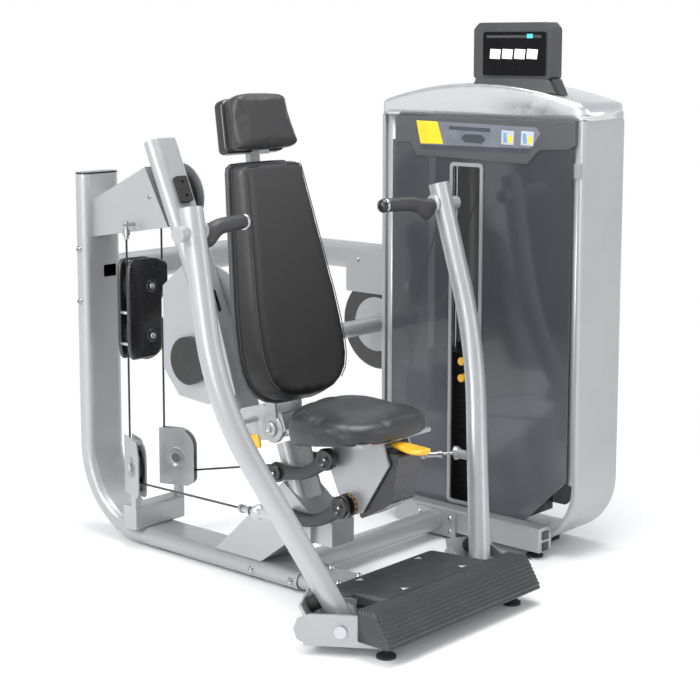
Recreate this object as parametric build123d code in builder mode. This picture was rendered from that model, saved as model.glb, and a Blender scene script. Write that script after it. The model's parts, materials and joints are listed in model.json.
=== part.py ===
"""Converging chest press with a weight-stack tower.

Row frame, millimetres: +Z up, the user faces -Y, the weight tower stands on the +X side.
X = 0 is the centre plane of the seat and base rail, Z = 0 is the floor, and the origin is
the underside of the middle pad of the base rail.
"""
from build123d import *
from math import acos, atan2, cos, hypot, radians, sin
import os

os.makedirs("parts", exist_ok=True)

# ---------------------------------------------------------------- driving dimensions
GAP = 0.4                 # clearance between pieces that move past each other
WALL = 3.5                # wall of the frame tubes

# base rail that bends up into the rear column
RAIL_W, RAIL_T = 160, 56
RAIL_Z = 36
RAIL_TOP = RAIL_Z + RAIL_T / 2
RAIL_FRONT_Y = -195
COLUMN_Y = 772
COLUMN_TOP = 1194
RAIL_BEND = 260
COLUMN_FACE_Y = COLUMN_Y - RAIL_T / 2
COLUMN_BOLTS = (948, 777)
RAIL_BOLTS = (-8, -172)
PLATE_BOLTS = [(-200, 72), (-200, 28), (-70, 72)]

# cross bar, footplate and pivots of the press arms
CROSSBAR_Y, CROSSBAR_Z = -714, 62
CROSSBAR_HALF = 322
SPINE_BOLTS = [(-45, -225), (45, -225), (-45, -333), (45, -333)]
COVER_HALF = 345
PIVOT = Vector(303, -583, 70)
SWING_YAW = 33.7          # plan angle between an arm's swing plane and the seat's centre plane
ARM_LEAN = 27.9           # lean of an arm's straight lower run within its swing plane
ARM_R = 32
PLATE_OUT, PLATE_IN, PLATE_T = 66, -70, 8
HUB_R, PIN_R = 33, 10

# handles
ARM_KNEE = Vector(562, -362, 687)
ARM_TOP = Vector(527, -240, 1185)
ARM_BEND = 850
HANDLE_ROOT = Vector(529, -248, 1122)
HANDLE_TIP = Vector(296, -211, 1128)
HANDLE_STUB = Vector(594, -258, 1120)
GRIP_R, BAR_R = 21, 13

# cable route
CABLE_R = 3.5
GROOVE = CABLE_R + 0.8    # a pulley's groove floor lies this far inside the cable's centre line
FALL_X, FALL_Y = 74.5, 543
GUIDE_R, GUIDE_Z, GUIDE_YAW = 50, 270, 21.11
BLOCK_R = 74.5
BLOCK_UPPER_Z, BLOCK_LOWER_Z = 846, 684
TOP_PULLEY_R = 75
TOP_PULLEY_Y, TOP_PULLEY_Z = FALL_Y - TOP_PULLEY_R, 1130
CLEVIS = Vector(434, -388, 366)
CABLE_GAP = 40             # the press cable starts this far past its guide pulley
TURNBUCKLE = 118          # length of the tensioner between a press cable and its arm
BALL_R, SOCKET_R = 8, 17.5    # swivel ball of a tensioner, and the socket on its arm
ANCHOR_Z = 1000

# torque shaft that joins the two cable systems
SHAFT_Y, SHAFT_Z = 270, 642
SHAFT_R, STUB_R = 28, 14
DRUM_R = 78
CAM_X, CAM_R, CAM_CABLE_R = 857, 160, 115

# back tube, upper beam
BACK_FOOT = Vector(0, 80, 468)
BACK_HEAD = Vector(0, 462, 1310)
BACK_W, BACK_T = 117, 56
BEAM_T, BEAM_H, BEAM_Z = 56, 96, 872
BEAM_X = 865

# weight tower
TOWER_X0, TOWER_X1 = 731, 966
TOWER_Y0, TOWER_Y1 = -638, 168
TOWER_Z0, TOWER_Z1 = 28, 1385
TOWER_BEND, TOWER_WALL = 205, 20
PANEL_X = 716
SLOT_Y0, SLOT_Y1 = -262, -151
STACK_Y = (SLOT_Y0 + SLOT_Y1) / 2
STACK_X0, STACK_X1 = 772, 942
STACK_WIDTH = 400
PLATE_PITCH, PLATE_COUNT, LIFTED = 18.4, 28, 4
STACK_Z0 = 85
STACK_PULLEY = (-146, 1310)
STACK_PULLEY_R = 60
ROD_X, ROD_SPACING = 819, 120

# back pad: plane of its middle, reclined
PAD_FOOT = Vector(0, -131, 563)
PAD_RECLINE = 10.6
PAD_LENGTH = 722
PAD_HALF = 196             # widest half-width, near the lumbar region
CUSHION_BACK = -24
CUSHION_FOOT, CUSHION_HEAD = 68, 34    # front face of the back cushion, out from its plane
HEADREST_HALF = (125, 104)             # half-width at its foot and its top

# seat linkage: pivots in (Y, Z)
UPPER_REAR = (-126, 362)
LOWER_REAR = (-180, 231)
LINK = (-204, 75)
LINK_X0, LINK_X1 = 70, 94
LINK_PIN_R = 8
BACK_PIVOT = (-75, 479)
BACK_LEVER = (-5, 498)
SEAT_LEVER = (-505, 496)


def yz_outline(points, x0, x1, mode=Mode.ADD):
    """Extrude a closed (Y, Z) outline from X = x0 to x1 into the current part."""
    with BuildSketch(Plane.YZ.offset(x0)) as profile:
        with BuildLine():
            Polyline(*points, close=True)
        make_face()
    extrude(profile.sketch, amount=x1 - x0, mode=mode)


def yz_disc(centre, radius, x0, x1, mode=Mode.ADD):
    """Disc about an axis along X, from x0 to x1."""
    with BuildSketch(Plane.YZ.offset(x0)) as profile:
        with Locations(centre):
            Circle(radius)
    extrude(profile.sketch, amount=x1 - x0, mode=mode)


def box_span(x0, x1, y0, y1, z0, z1, mode=Mode.ADD):
    """Axis-aligned block between two corners."""
    with Locations(((x0 + x1) / 2, (y0 + y1) / 2, (z0 + z1) / 2)):
        Box(abs(x1 - x0), abs(y1 - y0), abs(z1 - z0), mode=mode)


def rod(start, end, radius, mode=Mode.ADD):
    """Round bar between two points."""
    start, end = Vector(start), Vector(end)
    with BuildSketch(Plane(origin=start, z_dir=end - start)) as profile:
        Circle(radius)
    extrude(profile.sketch, amount=(end - start).length, mode=mode)


def bolt(point, outward, head_r=11, shank=9):
    """Dome-headed hexagon-socket bolt whose head sits on a surface at point."""
    face = Plane(origin=point, z_dir=outward)
    with BuildSketch(face) as crown:
        Circle(head_r)
    extrude(crown.sketch, amount=head_r * 0.55, taper=28)
    rod(point, face.origin - face.z_dir * shank, head_r * 0.55)
    with BuildSketch(face.offset(head_r * 0.25)) as socket:
        RegularPolygon(head_r * 0.42, 6)
    extrude(socket.sketch, amount=head_r, mode=Mode.SUBTRACT)


def bolt_hole(point, outward, head_r=11, shank=9):
    """Hole that takes the shank of a bolt."""
    face = Plane(origin=point, z_dir=outward)
    start = face.origin + face.z_dir
    rod(start, face.origin - face.z_dir * (shank + 1), head_r * 0.55 + 0.1, mode=Mode.SUBTRACT)


def swept_tube(points, bend, x_dir, outer, inner=None):
    """Sweep a section (width, thickness) along a bent line of points; round if they are equal."""
    with BuildLine() as centre_line:
        if len(points) > 2:
            FilletPolyline(*points, radius=bend)
        else:
            Line(*points)
    start = Vector(points[0])
    with BuildSketch(Plane(origin=start, x_dir=x_dir, z_dir=Vector(points[1]) - start)) as section:
        for size, mode in ((outer, Mode.ADD), (inner, Mode.SUBTRACT)):
            if size and size[0] == size[1]:
                Circle(size[0] / 2, mode=mode)
            elif size:
                SlotOverall(*size, mode=mode)
    sweep(section.sketch, path=centre_line.wire())


def cable(points, bend):
    """Round cable along a bent line of points."""
    start, following = Vector(points[0]), Vector(points[1])
    side = (0, 1, 0) if abs((following - start).normalized().Y) < 0.9 else (1, 0, 0)
    swept_tube(points, bend, side, (2 * CABLE_R, 2 * CABLE_R))


def pulley(centre, axis, radius, width, bore):
    """Grooved pulley whose cable centre line has the given radius."""
    rim, floor, half = radius + CABLE_R + 1.5, radius - GROOVE, width / 2
    across = Plane(origin=centre, z_dir=axis)
    with BuildSketch(Plane(origin=centre, x_dir=across.x_dir, z_dir=-across.y_dir)) as profile:
        with BuildLine():
            Polyline((bore, -half), (rim, -half), (rim, 2.5 - half), (floor, -CABLE_R - 0.8),
                     (floor, CABLE_R + 0.8), (rim, half - 2.5), (rim, half), (bore, half), close=True)
        make_face()
    revolve(profile.sketch, axis=Axis(centre, axis))


def tangent_ends(first, first_r, second, second_r, side=1):
    """Ends in (Y, Z) of a cable run that crosses over from one pulley's side to the other's."""
    span_y, span_z = second[0] - first[0], second[1] - first[1]
    lean = atan2(span_z, span_y) + side * acos((first_r + second_r) / hypot(span_y, span_z))
    return ((first[0] + first_r * cos(lean), first[1] + first_r * sin(lean)),
            (second[0] - second_r * cos(lean), second[1] - second_r * sin(lean)))


swing_out = Vector(sin(radians(SWING_YAW)), cos(radians(SWING_YAW)), 0)
swing_axis = Vector(cos(radians(SWING_YAW)), -sin(radians(SWING_YAW)), 0)
arm_plane = Plane(origin=PIVOT, x_dir=swing_out, z_dir=swing_axis)


def on_arm(back, up):
    """Point of a swing plane, given across and along an arm's lower run."""
    lean = radians(ARM_LEAN)
    return (back * cos(lean) + up * sin(lean), up * cos(lean) - back * sin(lean))


def flip(point):
    """Mirror image of a point in the centre plane of the seat."""
    return Vector(-point.X, point.Y, point.Z)


# ---------------------------------------------------------------- base frame
rail_points = [(0, RAIL_FRONT_Y, RAIL_Z), (0, COLUMN_Y, RAIL_Z), (0, COLUMN_Y, COLUMN_TOP)]

with BuildPart() as rail_body:
    swept_tube(rail_points, RAIL_BEND, (1, 0, 0), (RAIL_W, RAIL_T))

with BuildPart() as beam_body:
    with BuildLine() as beam_line:
        Polyline((0, COLUMN_Y, BEAM_Z), (BEAM_X, COLUMN_Y, BEAM_Z), (BEAM_X, TOWER_Y1, BEAM_Z))
    with BuildSketch(Plane(origin=(0, COLUMN_Y, BEAM_Z), x_dir=(0, 0, 1), z_dir=(1, 0, 0))) as beam_section:
        SlotOverall(BEAM_H, BEAM_T)
    sweep(beam_section.sketch, path=beam_line.wire(), transition=Transition.RIGHT)

with BuildPart() as back_tube_body:
    swept_tube([BACK_FOOT, BACK_HEAD], 0, (1, 0, 0), (BACK_W, BACK_T))

with BuildPart() as base_rail:
    swept_tube(rail_points, RAIL_BEND, (1, 0, 0), (RAIL_W, RAIL_T), (RAIL_W - 2 * WALL, RAIL_T - 2 * WALL))
    for bolt_z in COLUMN_BOLTS:
        bolt_hole((-RAIL_W / 2, COLUMN_Y, bolt_z), (-1, 0, 0))
    for bolt_y in RAIL_BOLTS:
        bolt_hole((-RAIL_W / 2, bolt_y, RAIL_Z), (-1, 0, 0))

with BuildPart() as end_caps:
    with BuildSketch(Plane.XY.offset(COLUMN_TOP)) as column_end:
        with Locations((0, COLUMN_Y)):
            SlotOverall(RAIL_W, RAIL_T)
    extrude(column_end.sketch, amount=6)
    for plug_z in (40, 76):
        box_span(682, 712, -549, -545, plug_z - 13, plug_z + 13)
    for side in (-1, 1):
        end_x = side * CROSSBAR_HALF
        box_span(end_x, end_x + side * 3, CROSSBAR_Y - 24, CROSSBAR_Y + 24, CROSSBAR_Z - 22, CROSSBAR_Z + 22)

with BuildPart() as front_crossbar:
    spine_points = [(0, RAIL_FRONT_Y, RAIL_Z), (0, CROSSBAR_Y + 20, RAIL_Z)]
    swept_tube(spine_points, 0, (1, 0, 0), (148, 46), (148 - 2 * WALL, 46 - 2 * WALL))
    box_span(-CROSSBAR_HALF, CROSSBAR_HALF, CROSSBAR_Y - 24, CROSSBAR_Y + 24,
             CROSSBAR_Z - 22, CROSSBAR_Z + 22)
    box_span(-CROSSBAR_HALF + 4, CROSSBAR_HALF - 4, CROSSBAR_Y - 20, CROSSBAR_Y + 20,
             CROSSBAR_Z - 18, CROSSBAR_Z + 18, mode=Mode.SUBTRACT)
    for bolt_x, bolt_y in SPINE_BOLTS:
        bolt_hole((bolt_x, bolt_y, RAIL_Z + 23), (0, 0, 1))

with BuildPart() as cross_tube:
    swept_tube([(60, -128, 55), (652, -128, 55)], 0, (0, 1, 0), (80, 60), (80 - 2 * WALL, 60 - 2 * WALL))
    box_span(652, 660, -222, -52, 10, 92)
    add(rail_body.part, mode=Mode.SUBTRACT)
    for bolt_y, bolt_z in PLATE_BOLTS:
        bolt_hole((652, bolt_y, bolt_z), (-1, 0, 0), head_r=9)

with BuildPart() as tower_base_bar:
    box_span(660, TOWER_X0, -545, 36, 23.5, 102)
    fillet(tower_base_bar.edges().filter_by(Axis.Y), 7)
    box_span(664, TOWER_X0 - 4, -540, 31, 28, 98, mode=Mode.SUBTRACT)

with BuildPart() as upper_beam:
    add(beam_body.part)
    box_span(829, BEAM_X - BEAM_T / 2, 175, 410, 748, 900)
    add(rail_body.part, mode=Mode.SUBTRACT)
    bolt_hole((829, 358, 861), (-1, 0, 0), head_r=9)

# ---------------------------------------------------------------- feet
FRONT_FEET = [(-283, CROSSBAR_Y), (283, CROSSBAR_Y)]
TOWER_FEET = [(700, -505), (700, 5)]
RAIL_PADS = [(0, -150), (0, 0), (0, 420)]

with BuildPart() as levelling_feet:
    foot_places = [(*place, 40) for place in FRONT_FEET] + [(*place, 23.5) for place in TOWER_FEET]
    for foot_x, foot_y, stem_top in foot_places:
        with BuildSketch(Plane.XZ.offset(-foot_y)) as foot:
            with BuildLine():
                Polyline((foot_x, 0), (foot_x + 27, 0), (foot_x + 27, 7), (foot_x + 13, 14),
                         (foot_x + 7, 16), (foot_x + 7, stem_top), (foot_x, stem_top), close=True)
            make_face()
        revolve(foot.sketch, axis=Axis((foot_x, foot_y, 0), (0, 0, 1)))
    for pad_x, pad_y in RAIL_PADS:
        box_span(pad_x - 45, pad_x + 45, pad_y - 30, pad_y + 30, 0, RAIL_Z - RAIL_T / 2)
    for pad_y in (-420, -40):
        box_span(TOWER_X0 + 60, TOWER_X1 - 60, pad_y - 40, pad_y + 40, 0, TOWER_Z0)

# ---------------------------------------------------------------- press arm pivots
outer_outline = [(-112, -42), (-112, -20), (-66, 45), (85, 45), (118, 28), (128, 2), (118, -26), (85, -42)]
inner_outline = [(-186, -22), (-186, 4), (-100, 30), (-66, 45), (85, 45), (118, 28), (128, 2),
                 (118, -26), (85, -42), (-100, -42)]
BUMPER_BACK, BUMPER_UP, BUMPER_THICK = ARM_R + 1.6, 84, 28

with BuildPart() as right_bracket:
    for plate_start, outline in ((PLATE_OUT, outer_outline), (PLATE_IN, inner_outline)):
        with BuildSketch(arm_plane.offset(plate_start)) as plate:
            with BuildLine():
                Polyline(*outline, close=True)
            make_face()
            Circle(PIN_R + 0.1, mode=Mode.SUBTRACT)
        extrude(plate.sketch, amount=PLATE_T)
    bumper_face = BUMPER_BACK + BUMPER_THICK
    with BuildSketch(arm_plane.offset(PLATE_IN)) as webs:
        with BuildLine():
            Polyline((-104, -42), (100, -42), (100, -34), (-104, -34), close=True)
        make_face()
        with BuildLine():
            Polyline(on_arm(bumper_face, 20), on_arm(bumper_face + 8, 20), on_arm(bumper_face + 8, 110),
                     on_arm(bumper_face, 110), close=True)
        make_face()
    extrude(webs.sketch, amount=PLATE_OUT - PLATE_IN + PLATE_T)

with BuildPart() as pivot_brackets:
    add(right_bracket.part)
    mirror(right_bracket.part, about=Plane.YZ)
    add(front_crossbar.part, mode=Mode.SUBTRACT)

with BuildPart() as right_bumper:
    back, up = on_arm(1, 0), on_arm(0, 1)
    push = swing_out * back[0] + Vector(0, 0, back[1])
    along = swing_out * up[0] + Vector(0, 0, up[1])
    bumper_start = PIVOT + push * BUMPER_BACK + along * BUMPER_UP
    rod(bumper_start, bumper_start + push * BUMPER_THICK, 22)

with BuildPart() as rubber_bumpers:
    add(right_bumper.part)
    mirror(right_bumper.part, about=Plane.YZ)
    bumper_at = BACK_FOOT + (BACK_HEAD - BACK_FOOT) * 0.81
    bumper_plane = Plane(origin=bumper_at, x_dir=(1, 0, 0), z_dir=Vector(1, 0, 0).cross(BACK_HEAD - BACK_FOOT))
    with BuildSketch(bumper_plane.offset(BACK_T / 2)) as bumper_pad:
        RectangleRounded(46, 84, 6)
        with GridLocations(0, 46, 1, 2):
            Circle(5, mode=Mode.SUBTRACT)
    extrude(bumper_pad.sketch, amount=16)

with BuildPart() as right_pin:
    rod(PIVOT + swing_axis * (PLATE_IN - 6), PIVOT + swing_axis * (PLATE_OUT + PLATE_T + 1), PIN_R)
    rod(PIVOT + swing_axis * (PLATE_IN - 14), PIVOT + swing_axis * (PLATE_IN - 0.2), 17)
    rod(PIVOT + swing_axis * (PLATE_OUT + PLATE_T), PIVOT + swing_axis * (PLATE_OUT + PLATE_T + 7), 17)

# ---------------------------------------------------------------- footplate
cover_outline = [(-782, 46), (-782, 60), (-722, 136), (-450, 118), (-446, 104), (-452, 104),
                 (-455, 113), (-720, 130.5), (-776, 58), (-776, 46)]
cover_plan = [(-COVER_HALF, -782), (COVER_HALF, -782), (COVER_HALF, -672), (300, -675), (262, -650),
              (240, -590), (225, -520), (215, -446), (-215, -446), (-225, -520), (-240, -590),
              (-262, -650), (-300, -675), (-COVER_HALF, -672)]

with BuildPart() as footplate_cover:
    yz_outline(cover_outline, -COVER_HALF, COVER_HALF)
    rib_count = 22
    for rib in range(rib_count):
        rib_y = -716 + rib * 262 / (rib_count - 1)
        rib_z = 136 + (rib_y + 722) * (118 - 136) / 272
        box_span(-200, 200, rib_y - 2, rib_y + 2, rib_z - 1, rib_z + 1.6)
    for side in (-1, 1):
        box_span(side * COVER_HALF, side * (COVER_HALF - 5), -776, -672, 90, 131)
    with BuildSketch(Plane.XY) as plan:
        with BuildLine():
            Polyline(*cover_plan, close=True)
        make_face()
    extrude(plan.sketch, amount=200, mode=Mode.INTERSECT)

# ---------------------------------------------------------------- cable tower behind the seat
pulley_box_outline = [(386, 1047), (490, 1230), (COLUMN_FACE_Y, 1110), (COLUMN_FACE_Y, 990)]

with BuildPart() as pulley_box:
    yz_outline(pulley_box_outline, -40, 40)
    add(back_tube_body.part, mode=Mode.SUBTRACT)
    rod((-41, FALL_Y, ANCHOR_Z + 46), (0, FALL_Y, ANCHOR_Z + 46), 6.1, mode=Mode.SUBTRACT)
    rod((0, TOP_PULLEY_Y, TOP_PULLEY_Z), (41, TOP_PULLEY_Y, TOP_PULLEY_Z), 10.1, mode=Mode.SUBTRACT)
    bolt_hole((-40, 470, 1136), (-1, 0, 0), head_r=8)

with BuildPart() as back_tube:
    inner = (BACK_W - 2 * WALL, BACK_T - 2 * WALL)
    swept_tube([BACK_FOOT, BACK_HEAD], 0, (1, 0, 0), (BACK_W, BACK_T), inner)
    cap_start = BACK_HEAD - (BACK_HEAD - BACK_FOOT).normalized() * 4
    swept_tube([cap_start, BACK_HEAD], 0, (1, 0, 0), (BACK_W, BACK_T))
    for slot_from, slot_to in ((0.375, 0.455), (0.505, 0.595)):
        slot_mid = BACK_FOOT + (BACK_HEAD - BACK_FOOT) * ((slot_from + slot_to) / 2)
        slot_length = (BACK_HEAD - BACK_FOOT).length * (slot_to - slot_from)
        slot_plane = Plane(origin=slot_mid, x_dir=BACK_HEAD - BACK_FOOT, z_dir=bumper_plane.z_dir)
        with BuildSketch(slot_plane) as slot:
            SlotOverall(slot_length, 20)
        extrude(slot.sketch, amount=BACK_T, mode=Mode.SUBTRACT)

with BuildPart() as bearing_plates:
    plate_outline = [(80, 560), (200, 512), (330, 522), (400, 600), (400, 863), (300, 944), (190, 900)]
    for plate_x in (-52, 44):
        yz_outline(plate_outline, plate_x, plate_x + 8)
    box_span(-44, 44, 340, 348, 700, 860)
    yz_outline([(190, 600), (230, 560), (310, 560), (350, 600), (350, 870), (190, 870)], 880, 888)
    yz_disc((SHAFT_Y, SHAFT_Z), SHAFT_R + 0.1, -60, 60, mode=Mode.SUBTRACT)
    yz_disc((SHAFT_Y, SHAFT_Z), STUB_R + 0.1, 870, 890, mode=Mode.SUBTRACT)
    add(back_tube_body.part, mode=Mode.SUBTRACT)
    add(beam_body.part, mode=Mode.SUBTRACT)

guide_axis = Vector(cos(radians(GUIDE_YAW)), sin(radians(GUIDE_YAW)), 0)
guide_out = Vector(sin(radians(GUIDE_YAW)), -cos(radians(GUIDE_YAW)), 0)
guide_centre = Vector(FALL_X, FALL_Y, GUIDE_Z) + guide_out * GUIDE_R
guide_plane = Plane(origin=guide_centre, x_dir=guide_out, z_dir=guide_axis)

with BuildPart() as right_guard:
    for cheek in (-15, 11):
        with BuildSketch(guide_plane.offset(cheek)) as guard:
            with BuildLine():
                Polyline((2, -95), (-62, -95), (-62, 93), (34, 93))
                ThreePointArc((34, 93), (53.8, 84.8), (62, 65))
                Line((62, 65), (62, -35))
                ThreePointArc((62, -35), (44.4, -77.4), (2, -95))
            make_face()
            Circle(8.1, mode=Mode.SUBTRACT)
        extrude(guard.sketch, amount=4)
    with BuildSketch(guide_plane.offset(-11)) as spacer:
        with Locations((0, 82), (0, -82)):
            Rectangle(50, 12)
    extrude(spacer.sketch, amount=22)

with BuildPart() as pulley_guards:
    add(right_guard.part)
    mirror(right_guard.part, about=Plane.YZ)
    yz_disc((TOP_PULLEY_Y, TOP_PULLEY_Z), 108, 90, 94)
    yz_disc((TOP_PULLEY_Y, TOP_PULLEY_Z), 10.1, 89, 95, mode=Mode.SUBTRACT)

with BuildPart() as pulley_pedestal:
    box_span(-105, 105, 483, 545, RAIL_TOP, 140)
    fillet(pulley_pedestal.edges().filter_by(Axis.X), 8)
    add(rail_body.part, mode=Mode.SUBTRACT)
    for side in (-1, 1):
        box_span(side * 80, side * 105, 485, 507, 138, 178)
    add(pulley_guards.part, mode=Mode.SUBTRACT)

with BuildPart() as right_guide_pin:
    rod(guide_centre - guide_axis * 20, guide_centre + guide_axis * 20, 8)
    for end in (-1, 1):
        start = guide_centre + guide_axis * (15.2 * end)
        rod(start, start + guide_axis * (7 * end), 14)

# ---------------------------------------------------------------- seat support
strut_outline = [(163, 64), (-35, 64), (-153, 150), (-240, 160), (-240, 250), (-130, 330), (-29, 239)]
casting_outline = [(95, 440), (60, 520), (-30, 545), (-110, 530), (-128, 480), (-80, 445), (0, 430)]
post_points = [(0, -200, 190), (0, -108, 441)]

with BuildPart() as post_body:
    swept_tube(post_points, 0, (1, 0, 0), (BACK_W, BACK_T))

with BuildPart() as seat_frame:
    yz_outline(strut_outline, -65, 65)
    yz_outline([(-310, 160), (-310, 232), (-150, 232), (-150, 160)], -48, 48)
    add(post_body.part)
    for pivot in (UPPER_REAR, LOWER_REAR):
        yz_disc(pivot, LINK_PIN_R + 0.1, -70, 70, mode=Mode.SUBTRACT)

with BuildPart() as seat_casting:
    yz_outline(casting_outline, -50, 50)
    fillet(seat_casting.edges().filter_by(Axis.X), 9)
    add(back_tube_body.part, mode=Mode.SUBTRACT)
    add(post_body.part, mode=Mode.SUBTRACT)
    yz_disc(BACK_PIVOT, LINK_PIN_R + 0.1, -60, 60, mode=Mode.SUBTRACT)
    yz_disc(BACK_LEVER, 9.1, -60, 60, mode=Mode.SUBTRACT)

# ---------------------------------------------------------------- seat linkage


def link_pair(rear):
    """Two link arms with the cross rod at their front pivot."""
    front = (rear[0] + LINK[0], rear[1] + LINK[1])
    for side in (-1, 1):
        with BuildSketch(Plane.YZ.offset(side * LINK_X0)) as arm:
            SlotCenterPoint(((rear[0] + front[0]) / 2, (rear[1] + front[1]) / 2), front, 42)
            with Locations(rear):
                Circle(LINK_PIN_R + 0.1, mode=Mode.SUBTRACT)
        extrude(arm.sketch, amount=side * (LINK_X1 - LINK_X0))
    yz_disc(front, 10, -LINK_X0 - 2, LINK_X0 + 2)


with BuildPart() as lower_link:
    link_pair(LOWER_REAR)

with BuildPart() as upper_link:
    link_pair(UPPER_REAR)

LOWER_FRONT = (LOWER_REAR[0] + LINK[0], LOWER_REAR[1] + LINK[1])
UPPER_FRONT = (UPPER_REAR[0] + LINK[0], UPPER_REAR[1] + LINK[1])
carriage_outline = [(-372, 492), (-505, 512), (-534, 446), (-437, 292), (-400, 280), (-366, 290),
                    (-304, 420), (-310, 458)]

with BuildPart() as seat_carriage:
    for side in (-1, 1):
        yz_outline(carriage_outline, side * 52, side * 60)
    yz_outline([(-515, 505), (-515, 517), (-225, 517), (-225, 505)], -150, 150)
    yz_outline([(-490, 480), (-490, 506), (-320, 506), (-320, 480)], -60, 60)
    yz_disc(LOWER_FRONT, 10.08, -61, 61, mode=Mode.SUBTRACT)
    yz_disc(UPPER_FRONT, 10.5, -61, 61, mode=Mode.SUBTRACT)

housing_outline = [(-470, 478), (-561, 478), (-557, 452), (-535, 335), (-509, 317), (-420, 268),
                   (-400, 420)]
with BuildPart() as seat_housing:
    yz_outline(housing_outline, -50, 50)
    fillet(seat_housing.edges().filter_by(Axis.X), 8)
    yz_disc(LOWER_FRONT, 24, -60, 60, mode=Mode.SUBTRACT)

with BuildPart() as seat_lever:
    yz_outline([(-498, 484), (-498, 503), (-528, 503), (-623, 492), (-606, 482), (-520, 481)], -34, 34)
    yz_disc(SEAT_LEVER, 5, -40, 40)

with BuildPart() as seat_cushion:
    with BuildSketch(Plane.XY.offset(519)) as seat_plan:
        with BuildLine():
            Polyline((-205, -530), (205, -530), (168, -205), (-168, -205), close=True)
        make_face()
        fillet(seat_plan.vertices(), 45)
    extrude(seat_plan.sketch, amount=50)
    fillet(seat_cushion.faces().sort_by(Axis.Z)[-1].edges(), 14)

# ---------------------------------------------------------------- back pad
pad_up = Vector(0, sin(radians(PAD_RECLINE)), cos(radians(PAD_RECLINE)))
pad_plane = Plane(origin=PAD_FOOT, x_dir=(1, 0, 0), z_dir=Vector(1, 0, 0).cross(pad_up))


def pad_outline(margin):
    """Outline of the back pad, narrowing upwards and rounded at the foot."""
    low, high, wide = margin, PAD_LENGTH - margin, PAD_HALF - margin
    Spline((0, low), (wide - 70, low + 26), (wide, low + 165), (wide - 26, low + 430), (wide - 62, high - 24),
           tangents=((1, 0), (-0.12, 1)))
    ThreePointArc((wide - 62, high - 24), (wide - 68, high - 7), (wide - 86, high))
    Line((wide - 86, high), (0, high))
    mirror(about=Plane.YZ)


def pad_point(up, out):
    """Y and Z of a point up the back pad's plane and out in front of it."""
    place = PAD_FOOT + pad_up * up + pad_plane.z_dir * out
    return place.Y, place.Z


with BuildPart() as back_cushion:
    with BuildSketch(pad_plane.offset(CUSHION_BACK)) as cushion_face:
        with BuildLine():
            pad_outline(0)
        make_face()
    extrude(cushion_face.sketch, amount=CUSHION_FOOT - CUSHION_BACK)
    beyond = [pad_point(-20, CUSHION_FOOT), pad_point(PAD_LENGTH + 20, CUSHION_HEAD),
              pad_point(PAD_LENGTH + 20, 120), pad_point(-20, 120)]
    yz_outline(beyond, -PAD_HALF - 5, PAD_HALF + 5, mode=Mode.SUBTRACT)

with BuildPart() as back_shell:
    with BuildSketch(pad_plane.offset(-40)) as shell_face:
        with BuildLine():
            pad_outline(6)
        make_face()
    extrude(shell_face.sketch, amount=15.6)

with BuildPart() as headrest:
    yz_outline([(-46, 1304), (2, 1468), (96, 1462), (130, 1420), (130, 1330), (104, 1304)],
               -HEADREST_HALF[0], HEADREST_HALF[0])
    fillet(headrest.edges().filter_by(Axis.X), 16)
    for side in (-1, 1):
        with BuildSketch(Plane.XZ.offset(60)) as taper:
            with BuildLine():
                Polyline((side * HEADREST_HALF[0], 1304), (side * HEADREST_HALF[1], 1468),
                         (side * HEADREST_HALF[1], 1480), (side * 140, 1480), (side * 140, 1304), close=True)
            make_face()
        extrude(taper.sketch, amount=-210, mode=Mode.SUBTRACT)

with BuildPart() as back_bracket:
    with BuildSketch(pad_plane.offset(-60)) as spine_face:
        with Locations((0, 395)):
            Rectangle(60, 620)
        with Locations((0, 110)):
            Rectangle(116, 60)
    extrude(spine_face.sketch, amount=19.6)
    headrest_arm = [(38, 1225), (58, 1225), (62, 1291), (150, 1291), (150, 1303.7), (3, 1303.7), (3, 1291),
                    (42, 1291)]
    yz_outline(headrest_arm, -20, 20)
    for side in (-1, 1):
        yz_outline([(-97, 479), (-92, 552), (-84, 600), (-70, 672), (-50, 672), (-53, 479), (-75, 457)],
                   side * 52, side * 58)
    yz_disc(BACK_PIVOT, LINK_PIN_R + 0.1, -60, 60, mode=Mode.SUBTRACT)
    add(back_shell.part, mode=Mode.SUBTRACT)
    add(back_cushion.part, mode=Mode.SUBTRACT)

with BuildPart() as back_lever:
    yz_disc(BACK_LEVER, 9, -168, 45)
    yz_outline([(BACK_LEVER[0] + 10, 490), (BACK_LEVER[0] + 8, 508), (-60, 494), (-128, 487),
                (-131, 470), (-80, 440), (-66, 462)], -168, -150)

# ---------------------------------------------------------------- press arms
grip_dir = (HANDLE_TIP - HANDLE_ROOT).normalized()
arm_low = Vector(300, -586, 62)
arm_mount = arm_low + (ARM_KNEE - arm_low).normalized() * 349
socket_in = (arm_mount - CLEVIS).normalized()
run_start = guide_centre - Vector(0, 0, GUIDE_R)
run_dir = (CLEVIS - run_start).normalized()

with BuildPart() as right_arm:
    swept_tube([arm_low, ARM_KNEE, ARM_TOP], ARM_BEND, (1, 0, 0), (2 * ARM_R, 2 * ARM_R))
    rod(PIVOT + swing_axis * (PLATE_IN + PLATE_T + 0.5), PIVOT + swing_axis * (PLATE_OUT - 0.5), HUB_R)
    rod(arm_mount, CLEVIS + socket_in * 4, 14)
    with Locations(CLEVIS):
        Sphere(SOCKET_R + 4)
        Sphere(SOCKET_R, mode=Mode.SUBTRACT)
    rod(CLEVIS - run_dir * 2, CLEVIS - run_dir * 32, 40, mode=Mode.SUBTRACT)
    rod(HANDLE_STUB, HANDLE_ROOT, 21)
    rod(HANDLE_ROOT, HANDLE_TIP, BAR_R)
    rod(PIVOT - swing_axis * 90, PIVOT + swing_axis * 90, PIN_R + 0.08, mode=Mode.SUBTRACT)

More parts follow.
